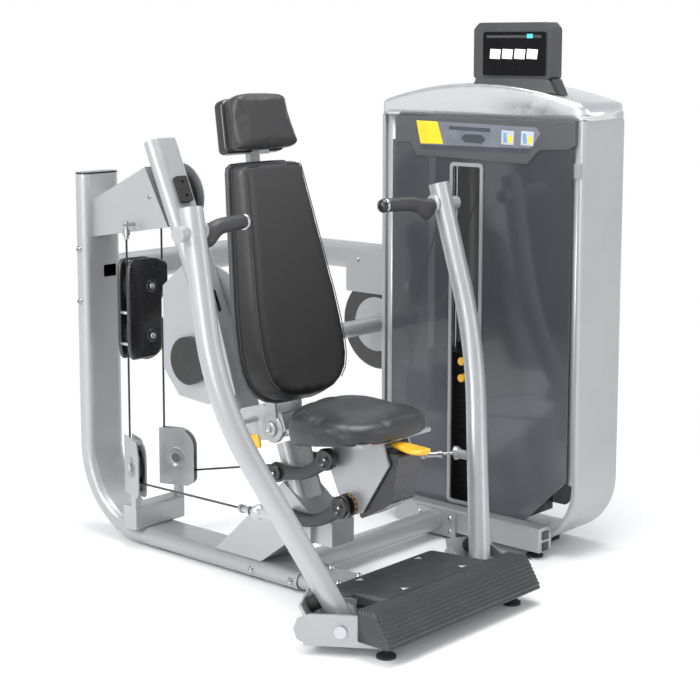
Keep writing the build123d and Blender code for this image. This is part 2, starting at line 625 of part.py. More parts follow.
with BuildPart() as right_grip:
    sleeve_start = HANDLE_ROOT + grip_dir * (ARM_R + 18)
    sleeve_end = HANDLE_TIP - grip_dir * 14
    rod(sleeve_start, sleeve_end, GRIP_R)
    rod(HANDLE_TIP - grip_dir * 13.8, HANDLE_TIP + grip_dir * 8, GRIP_R + 2)
    add(right_arm.part, mode=Mode.SUBTRACT)

with BuildPart() as left_arm:
    mirror(right_arm.part, about=Plane.YZ)

with BuildPart() as left_grip:
    mirror(right_grip.part, about=Plane.YZ)

# ---------------------------------------------------------------- press cables
run_end = CLEVIS - run_dir * TURNBUCKLE

with BuildPart() as right_press_cable:
    rod(run_start + run_dir * CABLE_GAP, run_end - run_dir * 0.3, CABLE_R)

with BuildPart() as right_turnbuckle:
    with Locations(CLEVIS):
        Sphere(BALL_R)
    rod(CLEVIS, CLEVIS - run_dir * 44, 5)
    for near, far in ((40, 54), (96, 110)):
        rod(CLEVIS - run_dir * near, CLEVIS - run_dir * far, 12)
    rod(CLEVIS - run_dir * 54, CLEVIS - run_dir * 96, 9)
    rod(CLEVIS - run_dir * 108, CLEVIS - run_dir * TURNBUCKLE, 7)

with BuildPart() as left_press_cable:
    mirror(right_press_cable.part, about=Plane.YZ)

with BuildPart() as left_turnbuckle:
    mirror(right_turnbuckle.part, about=Plane.YZ)

# ---------------------------------------------------------------- floating pulley block
block_outline = [(-95, 656), (-95, 884), (-62, 933), (34, 936), (75, 905), (75, 845), (50, 832),
                 (50, 640), (22, 612), (-64, 612)]
block_spacers = [(-88, 765, 5), (-88, 664, 5), (-60, 925, 7), (40, 765, 6)]
BLOCK_Y0, BLOCK_Y1 = FALL_Y - 28, FALL_Y + 28

with BuildPart() as block_housing:
    for plate_y in (BLOCK_Y0, BLOCK_Y1 - 6):
        with BuildSketch(Plane.XZ.offset(-plate_y)) as block_plate:
            with BuildLine():
                Polyline(*block_outline, close=True)
            make_face()
            fillet(block_plate.vertices(), 14)
            with Locations((0, BLOCK_UPPER_Z), (0, BLOCK_LOWER_Z)):
                Circle(8.1, mode=Mode.SUBTRACT)
        extrude(block_plate.sketch, amount=-6)
    for spacer_x, spacer_z, spacer_r in block_spacers:
        rod((spacer_x, BLOCK_Y0, spacer_z), (spacer_x, BLOCK_Y1, spacer_z), spacer_r)
    for axle_z in (BLOCK_UPPER_Z, BLOCK_LOWER_Z):
        rod((0, BLOCK_Y0 - 0.5, axle_z), (0, BLOCK_Y1 + 0.5, axle_z), 8)
        for end_y, step in ((BLOCK_Y0 - 0.2, -7), (BLOCK_Y1 + 0.2, 7)):
            rod((0, end_y, axle_z), (0, end_y + step, axle_z), 15)

with BuildPart() as block_upper_pulley:
    pulley((0, FALL_Y, BLOCK_UPPER_Z), (0, 1, 0), BLOCK_R, 24, 8.1)

with BuildPart() as block_lower_pulley:
    pulley((0, FALL_Y, BLOCK_LOWER_Z), (0, 1, 0), BLOCK_R, 24, 8.1)

with BuildPart() as right_guide_pulley:
    pulley(guide_centre, guide_axis, GUIDE_R, 20, 8.1)

with BuildPart() as left_guide_pulley:
    mirror(right_guide_pulley.part, about=Plane.YZ)

with BuildPart() as top_pulley:
    pulley((FALL_X, TOP_PULLEY_Y, TOP_PULLEY_Z), (1, 0, 0), TOP_PULLEY_R, 24, 10.1)

# ---------------------------------------------------------------- torque shaft and cam
with BuildPart() as torque_shaft:
    yz_disc((SHAFT_Y, SHAFT_Z), 75, -74, -54)
    yz_disc((SHAFT_Y, SHAFT_Z), SHAFT_R, -54, 827)
    yz_disc((SHAFT_Y, SHAFT_Z), 95, 827, 841.8)
    yz_disc((SHAFT_Y, SHAFT_Z), STUB_R, 827, 896)
    pulley((FALL_X, SHAFT_Y, SHAFT_Z), (1, 0, 0), DRUM_R, 22, SHAFT_R)

with BuildPart() as cam_disc:
    yz_disc((SHAFT_Y, SHAFT_Z), CAM_R, CAM_X - 15, CAM_X - 8)
    yz_disc((SHAFT_Y, SHAFT_Z), CAM_CABLE_R - GROOVE, CAM_X - 8, CAM_X + 8)
    yz_disc((SHAFT_Y, SHAFT_Z), CAM_R, CAM_X + 8, CAM_X + 15)
    yz_disc((SHAFT_Y, SHAFT_Z), STUB_R + 0.1, CAM_X - 20, CAM_X + 20, mode=Mode.SUBTRACT)

# ---------------------------------------------------------------- weight tower
with BuildPart() as tower_band:
    yz_outline([(TOWER_Y0, TOWER_Z0), (TOWER_Y1, TOWER_Z0), (TOWER_Y1, TOWER_Z1), (TOWER_Y0, TOWER_Z1)],
               TOWER_X0, TOWER_X1)
    fillet(tower_band.edges().filter_by(Axis.X).group_by(Axis.Z)[0], TOWER_BEND)
    fillet(tower_band.edges().filter_by(lambda edge: abs(edge.center().X - 848.5) > 117), 13)
    with BuildSketch(Plane.YZ.offset(TOWER_X0 - 1)) as tower_hollow:
        with Locations(((TOWER_Y0 + TOWER_Y1) / 2, (TOWER_Z0 + TOWER_Z1) / 2 + 100)):
            RectangleRounded(TOWER_Y1 - TOWER_Y0 - 2 * TOWER_WALL, TOWER_Z1 - TOWER_Z0 - 2 * TOWER_WALL + 200,
                             TOWER_BEND - TOWER_WALL)
    extrude(tower_hollow.sketch, amount=TOWER_X1 - TOWER_X0 + 2, mode=Mode.SUBTRACT)
    box_span(TOWER_X0 - 1, TOWER_X1 + 1, TOWER_Y0 - 1, TOWER_Y1 + 1, TOWER_Z1 - 4, TOWER_Z1 + 1,
             mode=Mode.SUBTRACT)
    box_span(CAM_X - 26, CAM_X + 26, 100, TOWER_Y1 + 1, 505, 800, mode=Mode.SUBTRACT)

with BuildPart() as tower_cap:
    with BuildSketch(Plane.YZ.offset(TOWER_X0 - 4)) as cap_profile:
        with BuildLine():
            Line((TOWER_Y0 - 4, TOWER_Z1 - 4), (TOWER_Y1 + 4, TOWER_Z1 - 4))
            Line((TOWER_Y1 + 4, TOWER_Z1 - 4), (TOWER_Y1 + 4, 1424))
            ThreePointArc((TOWER_Y1 + 4, 1424), (-235, 1490), (TOWER_Y0 - 4, 1428))
            Line((TOWER_Y0 - 4, 1428), (TOWER_Y0 - 4, TOWER_Z1 - 4))
        make_face()
    extrude(cap_profile.sketch, amount=TOWER_X1 - TOWER_X0 + 8)
    fillet(tower_cap.faces().sort_by(Axis.X)[0].edges(), 8)
    fillet(tower_cap.faces().sort_by(Axis.X)[-1].edges(), 8)
    box_span(TOWER_X0 + 20, TOWER_X1 - 20, TOWER_Y0 + 20, TOWER_Y1 - 20, TOWER_Z1 - 5, TOWER_Z1 + 20,
             mode=Mode.SUBTRACT)

with BuildPart() as console_housing:
    yz_outline([(-505, 1504), (-505, 1660), (-486, 1680), (-232, 1680), (-210, 1660), (-210, 1504)], 740, 800)
    fillet(console_housing.edges().filter_by(Axis.X), 12)
    yz_outline([(-546, 1440), (-512, 1506), (-210, 1506), (-189, 1440)], 752, 790)
    box_span(736, 741, -488, -250, 1515, 1651)
    add(tower_cap.part, mode=Mode.SUBTRACT)

header_outline = [(90, 1380), (-617, 1380), (-617, 1307), (-594, 1293), (-488, 1288), (-441, 1242),
                  (-2, 1252), (25, 1294), (90, 1291)]
with BuildPart() as header_panel:
    yz_outline(header_outline, PANEL_X - 4, TOWER_X0 + 6)
    fillet(header_panel.faces().sort_by(Axis.X)[0].edges(), 2.5)

with BuildPart() as shroud_panels:
    for panel_x in (PANEL_X, TOWER_X1 - 20):
        with BuildSketch(Plane.YZ.offset(panel_x)) as panel:
            with BuildLine():
                Polyline((-605, 1300), (-605, 254), (-455, 104), (104, 104), (104, 1300), close=True)
            make_face()
            fillet(panel.vertices().group_by(Axis.Y)[0], 20)
        extrude(panel.sketch, amount=5)
    slot_mid = (SLOT_Y0 + SLOT_Y1) / 2
    with BuildSketch(Plane.YZ.offset(PANEL_X - 1)) as panel_slot:
        with Locations((slot_mid, 672)):
            RectangleRounded(SLOT_Y1 - SLOT_Y0, 1128, 20)
    extrude(panel_slot.sketch, amount=8, mode=Mode.SUBTRACT)
    add(header_panel.part, mode=Mode.SUBTRACT)
    add(tower_band.part, mode=Mode.SUBTRACT)

with BuildPart() as tower_trims:
    with BuildSketch(Plane.YZ.offset(PANEL_X - 5)) as slot_trim:
        with Locations((slot_mid, 672)):
            RectangleRounded(SLOT_Y1 - SLOT_Y0 + 22, 1128, 16)
            RectangleRounded(SLOT_Y1 - SLOT_Y0 - 2, 1104, 8, mode=Mode.SUBTRACT)
    extrude(slot_trim.sketch, amount=4.8)
    add(header_panel.part, mode=Mode.SUBTRACT)
    box_span(726, TOWER_X0 + 6, -632, -596, 1206, 1252)
    add(tower_band.part, mode=Mode.SUBTRACT)

with BuildPart() as guide_rods:
    for side in (-1, 1):
        rod_y = STACK_Y + side * ROD_SPACING
        rod((ROD_X, rod_y, TOWER_Z0 + TOWER_WALL + 0.2), (ROD_X, rod_y, 1350), 10)

with BuildPart() as tower_crosshead:
    box_span(STACK_X0, STACK_X1, TOWER_Y0 + TOWER_WALL, TOWER_Y1 - TOWER_WALL, 1340, 1376)
    box_span(CAM_X - 14, CAM_X + 14, -220, -70, 1330, 1377, mode=Mode.SUBTRACT)
    for side in (-1, 1):
        rod_y = STACK_Y + side * ROD_SPACING
        rod((ROD_X, rod_y, 1330), (ROD_X, rod_y, 1350), 10.1, mode=Mode.SUBTRACT)
    rod((STACK_X0, STACK_PULLEY[0], 1310), (STACK_X1, STACK_PULLEY[0], 1310), 9)
    for plate_x in (CAM_X - 20, CAM_X + 14):
        box_span(plate_x, plate_x + 6, STACK_PULLEY[0] - 25, STACK_PULLEY[0] + 25, 1290, 1342)

def stack_plates(first, last):
    """Weight plates of the stack with their guide-rod and selector holes."""
    for number in range(first, last):
        base = STACK_Z0 + number * PLATE_PITCH
        box_span(STACK_X0, STACK_X1, STACK_Y - STACK_WIDTH / 2, STACK_Y + STACK_WIDTH / 2,
                 base, base + PLATE_PITCH - 0.8)
        hole_z = base + 8.8
        rod((STACK_X0 - 1, STACK_Y, hole_z), (STACK_X0 + 40, STACK_Y, hole_z), 5.5, mode=Mode.SUBTRACT)
    bottom, top = STACK_Z0 + first * PLATE_PITCH, STACK_Z0 + last * PLATE_PITCH
    for side in (-1, 1):
        rod_y = STACK_Y + side * ROD_SPACING
        rod((ROD_X, rod_y, bottom - 1), (ROD_X, rod_y, top), 10.6,
            mode=Mode.SUBTRACT)


with BuildPart() as weight_plates:
    stack_plates(0, PLATE_COUNT - LIFTED)

with BuildPart() as lifted_plates:
    stack_plates(PLATE_COUNT - LIFTED, PLATE_COUNT)

with BuildPart() as selector_pins:
    for plate_number in (PLATE_COUNT - LIFTED, PLATE_COUNT - 1):
        pin_z = STACK_Z0 + plate_number * PLATE_PITCH + 8.8
        rod((706, STACK_Y, pin_z), (STACK_X0 + 38, STACK_Y, pin_z), 5.4)
        rod((694, STACK_Y, pin_z), (712, STACK_Y, pin_z), 13)
        rod((690, STACK_Y, pin_z), (694, STACK_Y, pin_z), 10)

with BuildPart() as stack_pulley:
    pulley((CAM_X, *STACK_PULLEY), (1, 0, 0), STACK_PULLEY_R, 24, 9.1)

# ---------------------------------------------------------------- cables over the pulleys
leave_stack, reach_cam = tangent_ends(STACK_PULLEY, STACK_PULLEY_R, (SHAFT_Y, SHAFT_Z), CAM_CABLE_R)
leave_top, reach_drum = tangent_ends((TOP_PULLEY_Y, TOP_PULLEY_Z), TOP_PULLEY_R, (SHAFT_Y, SHAFT_Z),
                                     DRUM_R, side=-1)


def corner_at(height, near, far):
    """Y where the line through two (Y, Z) points reaches a height."""
    return near[0] + (height - near[1]) * (far[0] - near[0]) / (far[1] - near[1])


with BuildPart() as stack_cable:
    over = STACK_PULLEY[1] + STACK_PULLEY_R
    stack_top = STACK_Z0 + PLATE_COUNT * PLATE_PITCH
    rise_y = STACK_PULLEY[0] - STACK_PULLEY_R
    cable([(CAM_X, rise_y, stack_top + 12), (CAM_X, rise_y, over),
           (CAM_X, corner_at(over, leave_stack, reach_cam), over), (CAM_X, *reach_cam)], STACK_PULLEY_R - 0.5)

with BuildPart() as drive_cable:
    under, over = BLOCK_UPPER_Z - BLOCK_R, TOP_PULLEY_Z + TOP_PULLEY_R
    cable([(-FALL_X, FALL_Y, ANCHOR_Z), (-FALL_X, FALL_Y, under), (FALL_X, FALL_Y, under),
           (FALL_X, FALL_Y, over), (FALL_X, corner_at(over, leave_top, reach_drum), over),
           (FALL_X, *reach_drum)], [BLOCK_R - 0.3, BLOCK_R - 0.3, TOP_PULLEY_R - 0.5, TOP_PULLEY_R - 0.5])

with BuildPart() as riser_cable:
    over, under = BLOCK_LOWER_Z + BLOCK_R, GUIDE_Z - GUIDE_R
    cable([flip(run_start), (-FALL_X, FALL_Y, under), (-FALL_X, FALL_Y, over), (FALL_X, FALL_Y, over),
           (FALL_X, FALL_Y, under), run_start],
          [GUIDE_R - 0.5, BLOCK_R - 0.3, BLOCK_R - 0.3, GUIDE_R - 0.5])

# ---------------------------------------------------------------- fasteners of the fixed frame
with BuildPart() as fasteners:
    for bolt_z in COLUMN_BOLTS:
        bolt((-RAIL_W / 2, COLUMN_Y, bolt_z), (-1, 0, 0))
    for bolt_y in RAIL_BOLTS:
        bolt((-RAIL_W / 2, bolt_y, RAIL_Z), (-1, 0, 0))
    for bolt_x, bolt_y in SPINE_BOLTS:
        bolt((bolt_x, bolt_y, RAIL_Z + 23), (0, 0, 1))
    for bolt_y, bolt_z in PLATE_BOLTS:
        bolt((652, bolt_y, bolt_z), (-1, 0, 0), head_r=9, shank=7.5)
    bolt((829, 358, 861), (-1, 0, 0), head_r=9)
    bolt((-40, 470, 1136), (-1, 0, 0), head_r=8)
    rod((30, TOP_PULLEY_Y, TOP_PULLEY_Z), (96, TOP_PULLEY_Y, TOP_PULLEY_Z), 10)
    rod((94.2, TOP_PULLEY_Y, TOP_PULLEY_Z), (102, TOP_PULLEY_Y, TOP_PULLEY_Z), 18)
    rod((-86, FALL_Y, ANCHOR_Z + 46), (-2, FALL_Y, ANCHOR_Z + 46), 6)
    rod((-FALL_X, FALL_Y, ANCHOR_Z + 56), (-FALL_X, FALL_Y, ANCHOR_Z + 0.3), 8)
    rod((-FALL_X, FALL_Y, ANCHOR_Z + 30), (-FALL_X, FALL_Y, ANCHOR_Z + 12), 12)
    for pivot in (UPPER_REAR, LOWER_REAR):
        yz_disc(pivot, LINK_PIN_R, -98, 98)
        for side in (-1, 1):
            yz_disc(pivot, 14, side * (LINK_X1 + 0.4), side * (LINK_X1 + 7))
    yz_disc(BACK_PIVOT, LINK_PIN_R, -64, 64)
    for side in (-1, 1):
        yz_disc(BACK_PIVOT, 14, side * 58.4, side * 66)
    pin_at = BACK_FOOT + (BACK_HEAD - BACK_FOOT) * 0.425
    rod(pin_at + Vector(-54, 0, 0), pin_at + Vector(54, 0, 0), 7)
    for source in (right_guide_pin, right_pin):
        add(source.part)
        mirror(source.part, about=Plane.YZ)

pieces = {
    "base_rail": base_rail, "end_caps": end_caps, "front_crossbar": front_crossbar,
    "pivot_brackets": pivot_brackets, "rubber_bumpers": rubber_bumpers, "footplate_cover": footplate_cover,
    "cross_tube": cross_tube, "tower_base_bar": tower_base_bar, "levelling_feet": levelling_feet,
    "upper_beam": upper_beam, "pulley_box": pulley_box, "back_tube": back_tube,
    "bearing_plates": bearing_plates, "pulley_guards": pulley_guards, "pulley_pedestal": pulley_pedestal,
    "seat_frame": seat_frame, "seat_casting": seat_casting, "fasteners": fasteners,
    "tower_band": tower_band, "tower_cap": tower_cap, "console_housing": console_housing,
    "header_panel": header_panel, "shroud_panels": shroud_panels, "tower_trims": tower_trims,
    "guide_rods": guide_rods, "tower_crosshead": tower_crosshead, "weight_plates": weight_plates,
    "lifted_plates": lifted_plates, "selector_pins": selector_pins, "stack_pulley": stack_pulley,
    "stack_cable": stack_cable, "drive_cable": drive_cable, "riser_cable": riser_cable,
    "left_arm": left_arm, "right_arm": right_arm, "left_grip": left_grip, "right_grip": right_grip,
    "left_press_cable": left_press_cable, "right_press_cable": right_press_cable,
    "left_turnbuckle": left_turnbuckle, "right_turnbuckle": right_turnbuckle,
    "block_housing": block_housing, "block_upper_pulley": block_upper_pulley,
    "block_lower_pulley": block_lower_pulley, "left_guide_pulley": left_guide_pulley,
    "right_guide_pulley": right_guide_pulley, "top_pulley": top_pulley, "torque_shaft": torque_shaft,
    "cam_disc": cam_disc, "lower_link": lower_link, "upper_link": upper_link,
    "seat_carriage": seat_carriage, "seat_housing": seat_housing, "seat_cushion": seat_cushion,
    "seat_lever": seat_lever, "back_shell": back_shell, "back_cushion": back_cushion,
    "headrest": headrest, "back_bracket": back_bracket, "back_lever": back_lever,
}
for label, piece in pieces.items():
    piece.part.label = label
    export_step(piece.part, f"parts/{label}.step")
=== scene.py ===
import json
import math

import bmesh
import bpy
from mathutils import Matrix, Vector


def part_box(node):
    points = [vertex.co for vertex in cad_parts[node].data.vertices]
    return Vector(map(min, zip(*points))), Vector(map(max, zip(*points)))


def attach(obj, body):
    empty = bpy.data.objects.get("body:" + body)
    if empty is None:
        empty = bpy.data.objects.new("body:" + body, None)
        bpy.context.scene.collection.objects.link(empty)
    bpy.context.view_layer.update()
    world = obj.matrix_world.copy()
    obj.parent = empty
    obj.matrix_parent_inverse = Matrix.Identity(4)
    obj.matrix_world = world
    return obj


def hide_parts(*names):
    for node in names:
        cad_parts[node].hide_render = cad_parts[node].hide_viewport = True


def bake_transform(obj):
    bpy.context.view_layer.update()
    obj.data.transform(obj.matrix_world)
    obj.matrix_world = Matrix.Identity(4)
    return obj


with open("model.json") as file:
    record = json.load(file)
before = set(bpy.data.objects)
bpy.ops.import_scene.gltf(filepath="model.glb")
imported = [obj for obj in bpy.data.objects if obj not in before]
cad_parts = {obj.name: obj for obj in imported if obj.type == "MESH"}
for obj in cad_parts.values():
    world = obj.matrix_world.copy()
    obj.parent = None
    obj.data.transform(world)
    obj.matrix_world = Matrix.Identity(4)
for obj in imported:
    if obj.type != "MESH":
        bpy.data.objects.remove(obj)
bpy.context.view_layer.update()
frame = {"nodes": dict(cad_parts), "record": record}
scene = bpy.context.scene
nodes = frame["nodes"]

# ---------------------------------------------------------------- camera, lights and floor
EYE = Vector((-3.487, -3.398, 1.615))
HEADING = 0.7298
PITCH = 7.9
LENS = 84.4


def aim(obj, target):
    """Turns a lamp or camera to look at a point."""
    obj.rotation_euler = (Vector(target) - obj.location).to_track_quat("-Z", "Y").to_euler()


def add_camera():
    """Camera at the viewing angle, pitched down a little so that it needs only a small shift."""
    data = bpy.data.cameras.new("camera")
    data.lens, data.sensor_width = LENS, 36
    data.shift_x, data.shift_y = 0.0213, -0.1127
    camera = bpy.data.objects.new("camera", data)
    scene.collection.objects.link(camera)
    camera.location = EYE
    camera.rotation_euler = (math.radians(90 - PITCH), 0, HEADING - math.pi / 2)
    scene.camera = camera


def add_light(name, place, target, size, power, tint=(1, 1, 1)):
    """Soft area lamp."""
    data = bpy.data.lights.new(name, "AREA")
    data.shape, data.size, data.size_y = "RECTANGLE", size[0], size[1]
    data.energy, data.color = power, tint
    lamp = bpy.data.objects.new(name, data)
    scene.collection.objects.link(lamp)
    lamp.location = place
    aim(lamp, target)


def brighten_away(tree, shader):
    """Fades the floor into a lit white surround, so that no horizon shows."""
    place = tree.nodes.new("ShaderNodeTexCoord")
    distance = tree.nodes.new("ShaderNodeVectorMath")
    distance.operation = "LENGTH"
    tree.links.new(place.outputs["Object"], distance.inputs[0])
    fade = tree.nodes.new("ShaderNodeMapRange")
    fade.interpolation_type = "SMOOTHSTEP"
    fade.inputs["From Min"].default_value, fade.inputs["From Max"].default_value = 1.2, 3.0
    tree.links.new(distance.outputs["Value"], fade.inputs["Value"])
    glow = tree.nodes.new("ShaderNodeEmission")
    mix = tree.nodes.new("ShaderNodeMixShader")
    tree.links.new(fade.outputs["Result"], mix.inputs["Fac"])
    tree.links.new(shader.outputs["BSDF"], mix.inputs[1])
    tree.links.new(glow.outputs["Emission"], mix.inputs[2])
    tree.links.new(mix.outputs["Shader"], tree.nodes["Material Output"].inputs["Surface"])


def add_studio():
    """Pale floor that meets a pale surround, with three soft lamps."""
    bpy.ops.mesh.primitive_plane_add(size=60, location=(0, 0, 0))
    floor = bpy.context.object
    floor.name = "studio_floor"
    pale = bpy.data.materials.new("studio_floor")
    pale.use_nodes = True
    shader = pale.node_tree.nodes["Principled BSDF"]
    shader.inputs["Base Color"].default_value = (0.93, 0.93, 0.935, 1)
    shader.inputs["Roughness"].default_value = 0.85
    shader.inputs["Specular IOR Level"].default_value = 0.1
    floor.data.materials.append(pale)
    brighten_away(pale.node_tree, shader)
    world = bpy.data.worlds.new("studio")
    world.use_nodes = True
    tree = world.node_tree
    place = tree.nodes.new("ShaderNodeTexCoord")
    height = tree.nodes.new("ShaderNodeSeparateXYZ")
    ramp = tree.nodes.new("ShaderNodeValToRGB")
    ramp.color_ramp.elements[0].position, ramp.color_ramp.elements[1].position = 0.08, 0.5
    ramp.color_ramp.elements[0].color = (1, 1, 1, 1)
    ramp.color_ramp.elements[1].color = (0.5, 0.51, 0.53, 1)
    tree.links.new(place.outputs["Generated"], height.inputs["Vector"])
    tree.links.new(height.outputs["Z"], ramp.inputs["Fac"])
    tree.links.new(ramp.outputs["Color"], tree.nodes["Background"].inputs["Color"])
    tree.nodes["Background"].inputs["Strength"].default_value = 1.0
    scene.world = world
    middle = (0.2, -0.1, 0.7)
    add_light("key", (-3.4, 0.6, 3.2), middle, (0.9, 2.6), 110)
    add_light("front_fill", (1.6, -4.2, 2.6), middle, (1.2, 2.0), 26)
    add_light("side_fill", (-4.4, -1.7, 1.5), middle, (1.6, 2.2), 52)
    add_light("overhead", (0.4, -0.4, 4.2), middle, (3.0, 2.4), 150)
    scene.view_settings.view_transform = "Standard"


# ---------------------------------------------------------------- materials
class Finish:
    """Procedural material: a Principled shader fed by object-space textures."""

    def __init__(self, name, color, rough, **sockets):
        self.material = bpy.data.materials.new(name)
        self.material.use_nodes = True
        self.tree = self.material.node_tree
        self.shader = self.tree.nodes["Principled BSDF"]
        self.shader.inputs["Base Color"].default_value = (*color, 1)
        self.shader.inputs["Roughness"].default_value = rough
        for socket, value in sockets.items():
            self.shader.inputs[socket.replace("_", " ")].default_value = value
        self.place = self.add("ShaderNodeTexCoord").outputs["Object"]
        self.normal = None

    def add(self, kind):
        return self.tree.nodes.new(kind)

    def link(self, source, target):
        self.tree.links.new(source, target)

    def stretched(self, scale):
        """Object coordinates scaled along each axis."""
        mapping = self.add("ShaderNodeMapping")
        mapping.inputs["Scale"].default_value = scale
        self.link(self.place, mapping.inputs["Vector"])
        return mapping.outputs["Vector"]

    def clouds(self, scale, detail=3.0, stretch=(1, 1, 1)):
        """Noise with features about one metre over scale in size."""
        texture = self.add("ShaderNodeTexNoise")
        texture.inputs["Scale"].default_value = scale
        texture.inputs["Detail"].default_value = detail
        self.link(self.stretched(stretch), texture.inputs["Vector"])
        return texture.outputs["Fac"]

    def cells(self, scale, feature="F1"):
        """Cell pattern, for leather grain and moulded texture."""
        texture = self.add("ShaderNodeTexVoronoi")
        texture.feature = feature
        texture.inputs["Scale"].default_value = scale
        self.link(self.place, texture.inputs["Vector"])
        return texture.outputs["Distance"]

    def spread(self, value, low, high, socket):
        """Feeds a shader socket with a value stretched between two limits."""
        ranged = self.add("ShaderNodeMapRange")
        ranged.inputs["From Min"].default_value, ranged.inputs["From Max"].default_value = 0.3, 0.7
        ranged.inputs["To Min"].default_value, ranged.inputs["To Max"].default_value = low, high
        self.link(value, ranged.inputs["Value"])
        self.link(ranged.outputs["Result"], self.shader.inputs[socket])

    def tint(self, value, low, high):
        """Base colour that drifts between two colours."""
        ramp = self.add("ShaderNodeValToRGB")
        ramp.color_ramp.elements[0].position, ramp.color_ramp.elements[1].position = 0.3, 0.7
        ramp.color_ramp.elements[0].color = (*low, 1)
        ramp.color_ramp.elements[1].color = (*high, 1)
        self.link(value, ramp.inputs["Fac"])
        self.link(ramp.outputs["Color"], self.shader.inputs["Base Color"])

    def bump(self, value, depth, strength=0.5):
        """Surface relief of a depth in metres."""
        relief = self.add("ShaderNodeBump")
        relief.inputs["Distance"].default_value = depth
        relief.inputs["Strength"].default_value = strength
        self.link(value, relief.inputs["Height"])
        if self.normal:
            self.link(self.normal, relief.inputs["Normal"])
        self.normal = relief.outputs["Normal"]
        self.link(self.normal, self.shader.inputs["Normal"])


def shade(color, factor):
    return tuple(min(1, channel * factor) for channel in color)


def paint(name, color, rough, metal, flake, coat):
    """Powder coat: fine flakes, faint orange peel and slow drift in tone."""
    finish = Finish(name, color, rough, Metallic=metal, Coat_Weight=coat, Coat_Roughness=0.18)
    finish.tint(finish.clouds(2.2), shade(color, 0.94), shade(color, 1.05))
    finish.spread(finish.clouds(35), rough - 0.05, rough + 0.06, "Roughness")
    finish.bump(finish.clouds(2600, 1), 0.0002, flake)
    finish.bump(finish.clouds(240, 2), 0.0006, 0.06)
    return finish.material


def steel(name, color, rough, stretch, coat=0.0):
    """Plated or brushed metal with fine lines along one axis."""
    finish = Finish(name, color, rough, Metallic=1.0, Coat_Weight=coat)
    finish.tint(finish.clouds(9), shade(color, 0.9), shade(color, 1.06))
    finish.spread(finish.clouds(300, 3, stretch), rough - 0.06, rough + 0.1, "Roughness")
    finish.bump(finish.clouds(500, 2, stretch), 0.0003, 0.08)
    return finish.material


def plastic(name, color, rough, grain=900, relief=0.25, coat=0.0, gloss=0.5):
    """Moulded plastic or rubber with a fine spark-eroded grain."""
    finish = Finish(name, color, rough, Coat_Weight=coat, Coat_Roughness=0.08, Specular_IOR_Level=gloss)
    finish.tint(finish.clouds(14), shade(color, 0.86), shade(color, 1.15))
    finish.spread(finish.clouds(60), rough - 0.05, rough + 0.07, "Roughness")
    finish.bump(finish.clouds(grain, 2), 0.0004, relief)
    return finish.material


def vinyl_leather_painted_shade(name, foot, head, sheen):
    """Charcoal vinyl: pebbled grain, creases, handling shine, and painted shade: dark at the foot, lighter
    with height, as the light falls.
    """
    finish = Finish(name, foot, 0.4, Coat_Weight=sheen, Coat_Roughness=0.3, Specular_IOR_Level=0.35)
    # Painted shade and light: the base colour runs from the dark foot colour low down to the lighter head
    # colour high up.
    apart = finish.add("ShaderNodeSeparateXYZ")
    finish.link(finish.place, apart.inputs["Vector"])
    height = finish.add("ShaderNodeMapRange")
    height.inputs["From Min"].default_value, height.inputs["From Max"].default_value = 0.3, 1.6
    finish.link(apart.outputs["Z"], height.inputs["Value"])
    finish.tint(height.outputs["Result"], foot, head)
    finish.spread(finish.clouds(11), 0.36, 0.5, "Roughness")
    finish.bump(finish.cells(620, "SMOOTH_F1"), 0.0006, 0.35)
    finish.bump(finish.clouds(1500, 2), 0.0003, 0.25)
    finish.bump(finish.clouds(18, 3), 0.002, 0.12)
    return finish.material


def smoked_acrylic():
    """Dark see-through sheet, with painted light: lighter low down, darker towards the top."""
    color = (0.055, 0.06, 0.068)
    finish = Finish("smoked_panel", color, 0.16, Alpha=0.8, Coat_Weight=0.6, Coat_Roughness=0.06)
    apart = finish.add("ShaderNodeSeparateXYZ")
    finish.link(finish.place, apart.inputs["Vector"])
    # Painted light: the base colour is lighter low down and fades to the sheet's own dark tone from 0.7 m
    # up.
    finish.tint(apart.outputs["Z"], shade(color, 2.1), shade(color, 1.0))
    finish.bump(finish.clouds(6, 1), 0.004, 0.04)
    finish.material.surface_render_method = "BLENDED"
    return finish.material


def emissive(name, color, strength):
    """Lit part of a display."""
    finish = Finish(name, color, 0.3, Emission_Strength=strength)
    finish.shader.inputs["Emission Color"].default_value = (*color, 1)
    finish.bump(finish.clouds(900), 0.0001, 0.05)
    return finish.material


